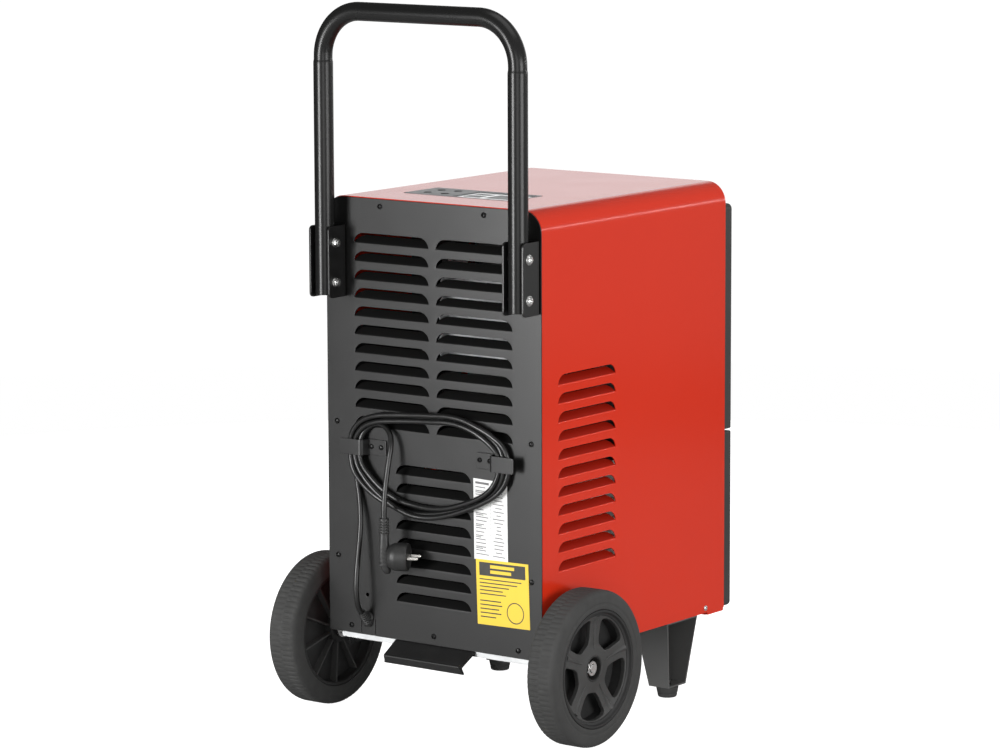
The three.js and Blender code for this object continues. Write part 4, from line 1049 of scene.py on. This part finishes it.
print("cord length", round(cord_len, 1), "mm")

def make_hooks():
    # flat pattern: base, step away from the panel, tab
    for side, k, (a, b, c, d) in (("left", 1, (73.8, 102.4, 106.5, 139.9)), ("right", -1, (70.6, 98.0, 102.6, 138.0))):
        rise, run = 13.2, c - b
        ang = math.degrees(math.atan2(rise, run))
        segs = [(b - a - 1.0, 0), (2.4, ang), (math.hypot(rise, run) - 3.6, 0), (4.6, -ang), (d - c - 2.0, 0)]
        at, cuts, U = folder((a, BACK + 0.3), 0, segs, side=1, n=5)
        end = at(U)[0]
        # the path is the panel-side face; scale the riser so that the tab lands at its stand-off
        bm = sheet_bm(rrect(0, U, 346.5, 367.0, [2.0, 3.5, 3.5, 2.0], 5), (), 2.0, 0.4, 2)
        off = (BACK + 13.5) - end.y
        def fn(u, v, dd):
            P, N = at(u)
            q = P + N * dd
            f = 0.0 if u < segs[0][0] else min(1.0, (u - segs[0][0]) / (segs[1][0] + segs[2][0] + segs[3][0]))
            return Vector((k * (q.x + (d - end.x) * f), q.y + off * f, v))
        remap(bm, fn, cuts)
        emit("hook_" + side, bm, "grey", smooth=38, replaces=("cord_hook_" + side,))
make_hooks()

# ------------------------------------------------------------------ base pan, tread plate, legs, feet
def make_base():
    bm = sheet_bm(rrect(-168.9, 168.9, -185.5, 183.0, 4, 4), (rrect(-100, -60, -60, 60, 8, 5), rrect(60, 100, -60, 60, 8, 5)) if False else (), 1.5, 0.3, 2)
    remap(bm, lambda u, v, d: Vector((u, v, 110.4 - d)))
    def wall(loop, fn, t=1.5):
        w = sheet_bm(loop, (), t, 0.3, 2)
        remap(w, fn)
        absorb(bm, w)
    wall(rrect(-150, 150, 101.4, 109.0, [6, 6, 0.5, 0.5], 6), lambda u, v, d: Vector((u, 181.2 - d, v)))
    wall(rrect(-150, 150, 101.4, 109.0, [6, 6, 0.5, 0.5], 6), lambda u, v, d: Vector((u, -184.0 + d, v)))
    for k in (-1, 1):
        for y0, y1 in ((-183.0, 133.0), (154.0, 180.0)):
            wall(rrect(y0, y1, 101.4, 109.0, [3, 3, 0.5, 0.5], 4), lambda u, v, d, k=k: Vector((k * (150.0 - d), u, v)))
    wall(rrect(-168.0, 168.0, 110.0, 121.0, [0.5, 0.5, 3, 3], 4), lambda u, v, d: Vector((u, 183.0 - d, v)))
    # rolled ends of the flange
    for k in (-1, 1):
        add_tube(bm, [(k * 149.2, y, 105.2) for y in (178.5, 180.0, 181.4)], 3.7, 20)
    emit("pan", bm, "pale", smooth=38, replaces=("base_pan",))
    bm = bmesh.new()
    for x in (108.0, -108.0, 40.0, -40.0):
        add_screw(bm, (x, 176.0, 108.9), "-z", 4.4, 8.6, spin=x)
        add_nut(bm, (x, -150.0, 108.9), "-z", 10.0, 5.0)
    emit("pan_fixings", bm, "steel", smooth=45, wn=False)
make_base()

def make_tread():
    # flange on the panel's foot, sloping plate, lip turned down and out
    segs = [(1.6, 0), (1.0, 64), (27.0, 0), (2.2, 40), (2.6, 0)]
    pts = [(183.6, 108.3), (184.4, 108.1), (185.4, 107.2)]
    bm = bmesh.new()
    prof = [(181.8, 102.2), (183.5, 102.2), (183.7, 104.6), (184.2, 104.7), (207.9, 92.7), (208.9, 91.7), (208.9, 90.6), (205.4, 84.2), (205.3, 83.5), (205.8, 82.9), (206.8, 82.5), (207.5, 82.7), (212.0, 91.6), (212.2, 92.8), (211.6, 93.9), (184.8, 107.6), (183.6, 108.5), (181.8, 108.5)]
    n = len(prof)
    secs = []
    W, r = 63.5, 5.0
    def inset(y):  # rounds the plate's outer corners in plan
        q = max(0.0, y - (212.2 - r))
        return r - math.sqrt(max(0.0, r * r - q * q)) if q > 0 else 0.0
    xs = [0.0, 0.25, 0.6, 1.2]
    rows = []
    for sgn in (-1, 1):
        seq = [(0.0, 0.9), (0.35, 0.35), (0.9, 0.0)]
        for off, shrink in (seq if sgn < 0 else seq[::-1]):
            row = []
            cy = sum(p[0] for p in prof) / n
            for y, z in prof:
                x = W - off - inset(y) * 1.0
                row.append((sgn * x, y, z))
            rows.append(row)
    rings = [[bm.verts.new(p) for p in row] for row in rows]
    for a, b in zip(rings, rings[1:]):
        for i in range(n):
            j = (i + 1) % n
            bm.faces.new((a[i], a[j], b[j], b[i]))
    bm.faces.new(rings[0])
    bm.faces.new(rings[-1])
    emit("tread", bm, "tread", smooth=30, bevel=0.35, seg=2, limit=40, replaces=("tread_plate",))
make_tread()

def make_feet():
    for side, k in (("left", 1), ("right", -1)):
        bm = bmesh.new()
        prof = soften([(0, 0.05), (11.6, 0.05), (12.5, 1.0), (13.2, 4.6), (12.6, 5.3), (13.5, 6.0), (14.9, 13.0), (14.2, 13.8), (6.0, 13.8), (0, 13.8)], 0.5)
        add_lathe(bm, prof, "z", (k * 138, -141, 0), 48)
        emit("foot_" + side + "_rubber", bm, "rubber", smooth=40, wn=False, replaces=("foot_" + side,))
        # the legs take the lighter leg finish, which is painted light
        dress("front_leg_" + side, "leg", 0.9, 3)
        bm = bmesh.new()
        add_lathe(bm, soften([(0, 0), (6.5, 0), (6.5, 1.0), (0, 1.0)], 0.2), "z", (k * 138, -141, 16.25), 28)
        add_nut(bm, (k * 138, -141, 17.2), "z", 10.0, 5.0, bore=3.0)
        add_lathe(bm, [(0, 0), (2.95, 0), (2.95, 8.5), (2.4, 9.2), (0, 9.2)], "z", (k * 138, -141, 16.3), 20)
        emit("foot_stud_" + side, bm, "screw", smooth=40, wn=False)
make_feet()

# ------------------------------------------------------------------ control panel on top
def make_controls():
    keys = [(75, 95.5), (75, 65.5), (47, 95.5), (50, 63.5)]
    holes = [rrect(-68.6, 22.6, 52.9, 114.1, 3.0, 5)] + [circle(x, y, 5.7, 28) for x, y in keys]
    bm = sheet_bm(rrect(-72.2, 99.2, 43.3, 117.7, 4.5, 6), holes, 5.6, 0.7, 3)
    remap(bm, lambda u, v, d: Vector((u, v, 678.3 - d)))
    emit("panel_bezel", bm, "bezel", smooth=38, replaces=("control_bezel",))
    bm = sheet_bm(rrect(-68.2, 22.2, 53.3, 113.7, 2.6, 5), (), 3.0, 0.5, 2)
    remap(bm, lambda u, v, d: Vector((u, v, 677.4 - d)))
    emit("panel_display", bm, "display", smooth=38, replaces=("lcd_window",))
    bm = bmesh.new()
    for x0, x1, y0, y1 in ((-58, -20, 66, 102), (-12, 14, 84, 102), (-12, 14, 66, 78)):
        b2 = sheet_bm(rrect(x0, x1, y0, y1, 1.5, 3), (), 0.06, 0.02, 1)
        remap(b2, lambda u, v, d: Vector((u, v, 677.47 - d)))
        absorb(bm, b2)
    emit("panel_segments", bm, "bezel", smooth=30, wn=False)
    for i, (x, y) in enumerate(keys):
        bm = bmesh.new()
        add_lathe(bm, soften([(0, 667.9), (6.4, 667.9), (6.4, 669.8), (5.15, 670.0), (5.15, 678.2), (4.4, 679.0), (0, 678.6)], 0.5, 3), "z", (x, y, 0), 36)
        emit("key_%d" % (i + 1), bm, "button", "button_" + "abcd"[i], smooth=40, wn=False, replaces=("button_%d" % (i + 1),))
make_controls()

# ------------------------------------------------------------------ front: grille, tank front, bulkhead, filter
def make_front():
    slots = [rrect(-140, 140, 372 + 17 * i, 381 + 17 * i, 4.4, 6) for i in range(15)]
    bm = sheet_bm(rrect(-169, 169, 348.5, 648, [2, 2, 7, 7], 6), slots, 3.0, 1.2, 3)
    remap(bm, lambda u, v, d: Vector((u, -243.5 + d, v)))
    # angled blades behind the slots
    for i in range(15):
        z = 372 + 17 * i
        b2 = sheet_bm(rrect(-142, 142, 0, 13.0, 1.0, 2), (), 1.8, 0.3, 2)
        remap(b2, lambda u, v, d, z=z: Vector((u, -240.8 + v * 0.82 + d * 0.57, z + 8.2 - v * 0.57 + d * 0.82)))
        absorb(bm, b2)
    # side, top and sloped lower returns
    ring = sheet_bm(rrect(-169, 169, 348.5, 648, [2, 2, 7, 7], 6), [rrect(-166, 166, 352.5, 645, [1, 1, 5, 5], 5)], 14.0, 0.3, 2)
    remap(ring, lambda u, v, d: Vector((u, -240.6 + d, v)))
    absorb(bm, ring)
    emit("intake_grille", bm, "plastic", smooth=38, replaces=("front_grille",))
    bm = sheet_bm(rrect(-169, 169, 108.8, 345.6, [7, 7, 2, 2], 6), [rrect(-12, 12, 150, 300, 11.9, 8)], 3.0, 1.2, 3)
    remap(bm, lambda u, v, d: Vector((u, -243.5 + d, v)))
    ring = sheet_bm(rrect(-169, 169, 108.8, 345.6, [7, 7, 2, 2], 6), [rrect(-166, 166, 112, 342.5, [5, 5, 1, 1], 5)], 14.0, 0.3, 2)
    remap(ring, lambda u, v, d: Vector((u, -240.6 + d, v)))
    absorb(bm, ring)
    emit("tank_door", bm, "plastic", "tank", smooth=38, replaces=("tank_front",))
    bm = sheet_bm(rrect(-12.6, 12.6, 149.4, 300.6, 12.5, 8), (), 1.6, 0.3, 2)
    remap(bm, lambda u, v, d: Vector((u, -240.3 + d, v)))
    emit("level_window", bm, "tank", "tank", smooth=38)
    # filter: frame with a woven insert
    bm = sheet_bm(rrect(-150, 150, 358, 644, 4, 4), [rrect(-142 + 96 * i, -50 + 96 * i, 366 + 137 * k, 499 + 137 * k, 3, 3) for i in range(3) for k in range(2)], 8.0, 0.8, 2)
    remap(bm, lambda u, v, d: Vector((u, -222.5 + d, v)))
    emit("filter_frame", bm, "plastic", smooth=38, replaces=("air_filter",))
    bm = bmesh.new()
    for i in range(94):
        add_box(bm, -142 + 3.05 * i, -141.4 + 3.05 * i, -219.2, -218.6, 364, 638)
    for i in range(90):
        add_box(bm, -144, 144, -218.6, -218.0, 366 + 3.03 * i, 366.6 + 3.03 * i)
    emit("filter_weave", bm, "mesh", smooth=30, wn=False, merge=0)
    dress("front_bulkhead", "red", 0.4)
make_front()

# ------------------------------------------------------------------ inside: shelf, tray, coils, fan, compressor, pipes
def make_inside():
    bm = sheet_bm(rrect(-157, 157, -223.5, 182.5, 2, 3), [rrect(134, 156, -42, -4, 4, 4), rrect(-30, 0, -190, -170, 3, 3)], 1.5, 0.25, 2)
    remap(bm, lambda u, v, d: Vector((u, v, 341.5 - d)))
    emit("shelf", bm, "zinc", smooth=38, replaces=("divider_shelf",))
    dress("drip_tray", "plastic", 0.5)
    for name, y0, y1 in (("evaporator", -195, -150), ("condenser", -130, -85)):
        bm = bmesh.new()
        n = 104
        for i in range(n):
            x = -132 + 264 * i / (n - 1)
            add_box(bm, x - 0.22, x + 0.22, y0 + 2, y1 - 2, 364, 634)
        emit(name + "_fins", bm, "fins", smooth=30, wn=False, replaces=(name + "_coil",), merge=0)
        bm = bmesh.new()
        for k in (-1, 1):
            b2 = sheet_bm(rrect(y0, y1, 358, 640, 2, 3), (), 1.6, 0.25, 2)
            remap(b2, lambda u, v, d, k=k: Vector((k * (135.6 - d), u, v)))
            absorb(bm, b2)
        emit(name + "_plates", bm, "zinc", smooth=38)
        bm = bmesh.new()
        for c in range(2):
            y = (y0 + y1) / 2 + (c - 0.5) * 22
            for i in range(9):
                z = 376 + 30.5 * i
                add_tube(bm, [(-137, y, z), (0, y, z), (137, y, z)], 3.6, 12, caps=True, up=Vector((0, 0, 1)))
            for i in range(4):
                z = 376 + 61 * i
                arcp = [(-137 - 11 * sin(pi * t / 8), y, z + 15.25 - 15.25 * cos(pi * t / 8)) for t in range(9)]
                add_tube(bm, arcp, 3.6, 12, caps=True)
        emit(name + "_tubes", bm, "copper", smooth=50, wn=False, merge=0)
    dress("fan_shroud", "plastic", 0.4)
    bm = bmesh.new()
    ax = "y"
    add_lathe(bm, soften([(0, 46), (12, 46), (12.4, 52), (30, 52.6), (41, 54), (42.5, 58), (42.5, 76), (43.4, 76.6), (43.4, 79.4), (42.5, 80), (42.5, 100), (40, 106), (33, 108), (31, 112.5), (28, 114), (0, 114)], 1.2, 3), ax, (0, 0, 505), 48)
    emit("motor_can", bm, "screw", smooth=40, wn=False, replaces=("fan_motor",))
    # fan: five swept blades with thickness, hub with a nose
    bm = bmesh.new()
    add_lathe(bm, soften([(4.5, 12), (14, 12), (24, 15), (26, 20), (26, 41), (23, 42.5), (23, 20), (4.5, 18)], 0.8, 3), ax, (0, 0, 505), 40, closed=True)
    for b in range(5):
        secs = []
        for i in range(9):
            f = i / 8
            r = 24 + 94.5 * f
            chord = 34 + 26 * math.sin(pi * min(1.0, f * 0.9 + 0.1) * 0.62)
            tw = rad(44 - 24 * f)
            sweep = 10 * f * f
            ring = []
            for side in (1, -1):
                rng = range(7) if side > 0 else range(6, -1, -1)
                for j in rng:
                    q = j / 6 - 0.5
                    camber = 3.0 * (0.25 - q * q) * 4 * 0.8
                    th = 1.3 * (1 - (2 * q) ** 2) ** 0.5 + 0.25 if abs(q) < 0.5 else 0.25
                    x, y = q * chord + sweep, camber + side * th * 0.6
                    ring.append((r, x * sin(tw) + y * cos(tw), x * cos(tw) - y * sin(tw)))
            secs.append(ring)
        a = 2 * pi * b / 5
        rings = []
        for ring in secs:
            vs = []
            for r, yy, zz in ring:
                ang = zz / r
                rr2 = r
                X, Z = rr2 * cos(ang + a), rr2 * sin(ang + a)
                vs.append(bm.verts.new((X, 28 + max(-14.0, min(14.0, yy)), 505 + Z)))
            rings.append(vs)
        n = len(rings[0])
        for r0, r1 in zip(rings, rings[1:]):
            for i in range(n):
                j = (i + 1) % n
                bm.faces.new((r0[i], r0[j], r1[j], r1[i]))
        bm.faces.new(rings[0])
        bm.faces.new(rings[-1])
    emit("fan_blades", bm, "plastic", "fan", smooth=40, wn=False, replaces=("fan_wheel",), merge=0.001)
    # compressor: welded can, feet plate, terminal cover
    bm = bmesh.new()
    add_lathe(bm, soften([(0, 128), (50, 128), (57, 135), (58, 142), (58, 214), (59.6, 215), (59.6, 219.5), (58, 220.5), (58, 284), (55.5, 297), (46, 307.5), (30, 314), (12, 316.6), (0, 317)], 2.0, 4), "z", (45, 95, 0), 64)
    b2 = sheet_bm(rrect(-21, 111, 73, 117, 10, 6), [circle(-7, 95, 5, 18), circle(97, 95, 5, 18)], 3.0, 0.4, 2)
    remap(b2, lambda u, v, d: Vector((u, v, 128.5 - d)))
    absorb(bm, b2)
    b3 = bmesh.new()
    add_loft(b3, [(rr_section(36, 38, 6), -3.0), (rr_section(38, 40, 6), 0), (rr_section(38, 40, 6), 44), (rr_section(35, 37, 6), 49)], Matrix.Translation((-26, 95, 206)))
    absorb(bm, b3)
    emit("compressor_can", bm, "screw", smooth=38, wn=False, replaces=("compressor",))
    bm = bmesh.new()
    for x in (-7, 97):
        add_lathe(bm, soften([(0, 110.6), (12, 110.6), (12, 115), (9.4, 117), (9.4, 120), (11, 122), (11, 125.2), (0, 125.2)], 0.8, 3), "z", (x, 95, 0), 32)
    add_box(bm, -20, 110, 75, 115, 121.2, 123.8)
    emit("rubber_mounts", bm, "rubber", smooth=40, wn=False, replaces=("compressor_mount",), merge=0)
    CX, CY = 45, 95
    def pipe(name, pts, r, node, tail=()):
        p, _ = spline(pts, 90)
        bm = bmesh.new()
        add_tube(bm, [tuple(q) for q in p] + list(tail), r, 20)
        return emit(name, bm, "copper", smooth=50, wn=False, replaces=(node,))
    pipe("suction_line", [(CX + 58.5, CY - 20, 235), (122, 66, 236), (132, 40, 246), (139, -8, 290), (145, -27, 345), (150, -30, 420), (150, -30, 560), (150, -60, 595), (150, -140, 606), (147, -168, 608), (142, -173, 608)], 4.8, "suction_pipe", ((138.8, -173, 608), (136.4, -173, 608)))
    pipe("discharge_line", [(CX + 43, CY - 43, 270), (105, 34, 270), (125, 20, 280), (150, 2, 300), (158, -10, 345), (159.5, -12, 420), (159.5, -20, 560), (158, -75, 622), (150, -102, 625), (143, -108, 625)], 3.2, "discharge_pipe", ((139.5, -108, 625), (136.4, -108, 625)))
    p, _ = spline([(136.4, -108, 380), (146, -108, 380), (151, -114, 380), (151, -140, 380), (151, -166, 380), (146, -172, 380), (136.4, -172, 380)], 50)
    bm = bmesh.new()
    add_tube(bm, [tuple(q) for q in p], 2.6, 14)
    add_lathe(bm, soften([(0, -162), (3.4, -160), (9, -153), (9, -127), (3.4, -120), (0, -118)], 2.0, 4), "y", (151, 0, 380), 28)
    emit("drier_line", bm, "copper", smooth=50, wn=False, replaces=("filter_drier",), merge=0)
    dress("electrical_box", "zinc", 0.4)
    dress("control_board", "board", 0.2)
    for s in ("left", "right"):
        dress("axle_bracket_" + s, "screw", 0.4)
    for side, k in (("left", 1), ("right", -1)):
        bm = bmesh.new()
        for z0, z1 in ((126, 336), (346, 505)):
            b2 = sheet_bm(rrect(14, 168, z0, z1, 4, 4), (), 3.0, 0.6, 2)
            remap(b2, lambda u, v, d, k=k: Vector((k * (149.2 - d), u, v)))
            absorb(bm, b2)
        if k > 0:
            emit("liner_" + side, bm, "liner", smooth=38)
        else:
            bm.free()
    # foam-wrapped pipe run seen through the louvres
    bm = bmesh.new()
    pts = [(-120, 120, 345), (-124, 128, 400), (-122, 140, 455)]
    for i in range(5):
        z = 480 + 23.0 * i
        a, b = (-112, -8) if i % 2 == 0 else (-8, -112)
        pts += [(a, 158, z), (a * 0.6 + b * 0.4, 160, z + 1.5), (b, 158, z + 1)]
        pts += [(b + (7 if b > a else -7), 158, z + 11)] if i < 4 else [(b, 152, 590), (b, 134, 604)]
    p, _ = spline(pts, 260)
    add_tube(bm, [tuple(q) for q in p], [10.6 + 0.7 * sin(i * 0.9) + 0.5 * sin(i * 2.3) for i in range(len(p))], 18)
    emit("wrapped_pipe", bm, "foam", smooth=50, wn=False)
make_inside()

# ------------------------------------------------------------------ water tank, float, switch
def make_tank():
    bm = sheet_bm(rrect(-150, 150, -225.7, -50, 14, 7), [rrect(-147.2, 147.2, -222.9, -52.8, 11.5, 7)], 214.0, 1.0, 3)
    remap(bm, lambda u, v, d: Vector((u, v, 330.0 - d)))
    b2 = sheet_bm(rrect(-149, 149, -224.7, -51, 13, 7), (), 3.0, 1.0, 3)
    remap(b2, lambda u, v, d: Vector((u, v, 117.0 - d)))
    absorb(bm, b2)
    # stiffening ribs outside the side walls' plane and a rolled rim
    b3 = sheet_bm(rrect(-150, 150, -225.8, -50, 14, 7), [rrect(-144.5, 144.5, -220, -55.5, 10, 7)], 3.0, 1.2, 3)
    remap(b3, lambda u, v, d: Vector((u, v, 330.0 - d)))
    absorb(bm, b3)
    for i in range(5):
        x = -110 + 55 * i
        add_box(bm, x - 1.2, x + 1.2, -222.9, -218.0, 117, 320)
        add_box(bm, x - 1.2, x + 1.2, -57.0, -52.8, 117, 285)
    for x in (97.0, 127.0):
        add_box(bm, x - 1.5, x + 1.5, -66, -52.8, 297, 309)
    add_lathe(bm, [(0, 95.6), (1.8, 95.6), (1.8, 128.4), (0, 128.4)], "x", (0, -61, 303), 16)
    emit("tank_shell", bm, "tank", "tank", smooth=38, wn=True, replaces=("water_tank",), merge=0)
    bm = bmesh.new()
    add_lathe(bm, soften([(0, 92), (15, 92), (17, 94), (17, 130), (15, 132), (0, 132)], 1.2, 4), "x", (0, -120, 290), 36)
    emit("float_body", bm, "float", "float", smooth=40, wn=False, replaces=("tank_float",))
    bm = bmesh.new()
    b2 = sheet_bm(rrect(-120, -63, 300, 306, 2, 4), (), 8.0, 0.6, 2)
    remap(b2, lambda u, v, d: Vector((116 - d, u, v)))
    absorb(bm, b2)
    add_lathe(bm, soften([(2.2, 100), (5, 100), (5, 124), (2.2, 124)], 0.4, 2), "x", (0, -61, 303), 28, closed=True)
    emit("float_arm", bm, "plastic", "float", smooth=40, wn=False, merge=0)
    dress("float_switch", "plastic", 0.5)
    bm = sheet_bm(rrect(96, 128, 287, 340.2, 2, 3), (), 1.5, 0.25, 2)
    remap(bm, lambda u, v, d: Vector((u, -36.8 + d, v)))
    emit("switch_bracket", bm, "zinc", smooth=38)
make_tank()

# ------------------------------------------------------------------ lanced tongues: painted shade, their faces get darker copies of the sheet's paint
def paint_lance_shade(name, mat, axis, lo, hi, zr):
    ob = bpy.data.objects[name]
    ob.data.materials.append(M[mat])
    index = len(ob.data.materials) - 1
    inv = ob.matrix_world
    for p in ob.data.polygons:
        c = inv @ p.center
        if lo < abs(c[axis]) * 1000 < hi and zr[0] < c.z * 1000 < zr[1] and abs(p.normal.z) > 0.35 and abs(p.normal[axis]) > 0.3:
            p.material_index = index
paint_lance_shade("casing", "redshade", 0, 150, 169.9, (125, 500))
# painted shade on the rear panel's tongues as well
paint_lance_shade("rear_sheet", "greyshade", 1, 165, 184.3, (125, 655))

# ------------------------------------------------------------------ floor, light
def make_floor():
    bm = bmesh.new()
    n, R = 64, 2.3
    c = bm.verts.new((0, 0, 0))
    rings = []
    for r in (1.0, 3.0, R):
        rings.append([bm.verts.new((r * cos(2 * pi * i / n), r * sin(2 * pi * i / n), 0)) for i in range(n)])
    for i in range(n):
        j = (i + 1) % n
        bm.faces.new((c, rings[0][i], rings[0][j]))
        for a, b in zip(rings, rings[1:]):
            bm.faces.new((a[i], b[i], b[j], a[j]))
    me = bpy.data.meshes.new("floor")
    bm.to_mesh(me)
    bm.free()
    mt = material("pale_floor", (0.52, 0.52, 0.52), (0.50, 0.50, 0.50), rough=0.6, rough2=0.7, patch=1.5, grain=60, bump=0.02, depth=0.0005)
    nt = mt.node_tree
    base = [nd for nd in nt.nodes if nd.type == "BSDF_PRINCIPLED"][0]
    out = [nd for nd in nt.nodes if nd.type == "OUTPUT_MATERIAL"][0]
    em, ad, mx, lp = (nt.nodes.new("ShaderNode" + k) for k in ("Emission", "AddShader", "MixShader", "LightPath"))
    em.inputs["Strength"].default_value = 1.0
    nt.links.new(base.outputs[0], ad.inputs[0])
    nt.links.new(em.outputs[0], ad.inputs[1])
    nt.links.new(lp.outputs["Is Camera Ray"], mx.inputs[0])
    nt.links.new(base.outputs[0], mx.inputs[1])
    nt.links.new(ad.outputs[0], mx.inputs[2])
    nt.links.new(mx.outputs[0], out.inputs[0])
    me.materials.append(mt)
    ob = bpy.data.objects.new("floor", me)
    ob.location.z = -0.0005
    scene.collection.objects.link(ob)
make_floor()

def area(name, loc, target, w, h, power, color=(1, 1, 1)):
    d = bpy.data.lights.new(name, "AREA")
    d.shape, d.size, d.size_y, d.energy, d.color = "RECTANGLE", w, h, power, color
    o = bpy.data.objects.new(name, d)
    scene.collection.objects.link(o)
    o.location = loc
    v = Vector(target) - Vector(loc)
    o.rotation_mode = "QUATERNION"
    o.rotation_quaternion = v.to_track_quat("-Z", "Y")
    o.visible_camera = False
    return o

def make_light():
    w = bpy.data.worlds.new("studio")
    scene.world = w
    w.use_nodes = True
    nt = w.node_tree
    nt.nodes.clear()
    N, L = nt.nodes.new, nt.links.new
    out, bg = N("ShaderNodeOutputWorld"), N("ShaderNodeBackground")
    bg.inputs["Color"].default_value = (1, 1, 1, 1)
    bg2 = N("ShaderNodeBackground")
    bg2.inputs["Color"].default_value = (1, 1, 1, 1)
    tc, sep, mr = N("ShaderNodeTexCoord"), N("ShaderNodeSeparateXYZ"), N("ShaderNodeMapRange")
    mr.inputs["From Min"].default_value, mr.inputs["From Max"].default_value = -0.7, 0.7
    mr.inputs["To Min"].default_value, mr.inputs["To Max"].default_value = 0.46, 0.07
    L(tc.outputs["Generated"], sep.inputs[0])
    L(sep.outputs["X"], mr.inputs["Value"])
    L(mr.outputs[0], bg.inputs["Strength"])
    bg2.inputs["Strength"].default_value = 1.05
    lp, mx = N("ShaderNodeLightPath"), N("ShaderNodeMixShader")
    L(lp.outputs["Is Camera Ray"], mx.inputs[0])
    L(bg.outputs[0], mx.inputs[1])
    L(bg2.outputs[0], mx.inputs[2])
    L(mx.outputs[0], out.inputs[0])
    c = (0, 0, 0.45)
    area("overhead", (-0.7, 0.1, 3.2), (0, 0, 0.4), 2.0, 2.4, 24)
    area("rear_key", (0.92, 2.9, 0.62), (0.0, 0.18, 0.42), 0.8, 1.2, 78)
    area("near_fill", (-2.0, 3.1, 0.8), (-0.1, 0.1, 0.45), 1.5, 1.4, 18)
    area("side_soft", (-3.0, 0.5, 0.62), (-0.17, 0.0, 0.45), 1.6, 1.2, 44)
    area("behind", (1.2, -3.2, 1.1), (0, -0.2, 0.6), 3.4, 2.0, 24)
    area("edge_strip", (-2.0, -2.7, 0.95), (-0.17, 0, 0.6), 2.4, 0.06, 8)
    scene.view_settings.view_transform = "Standard"
    scene.view_settings.look = "None"
    scene.view_settings.exposure = 0.0
    scene.view_settings.gamma = 1.0
make_light()
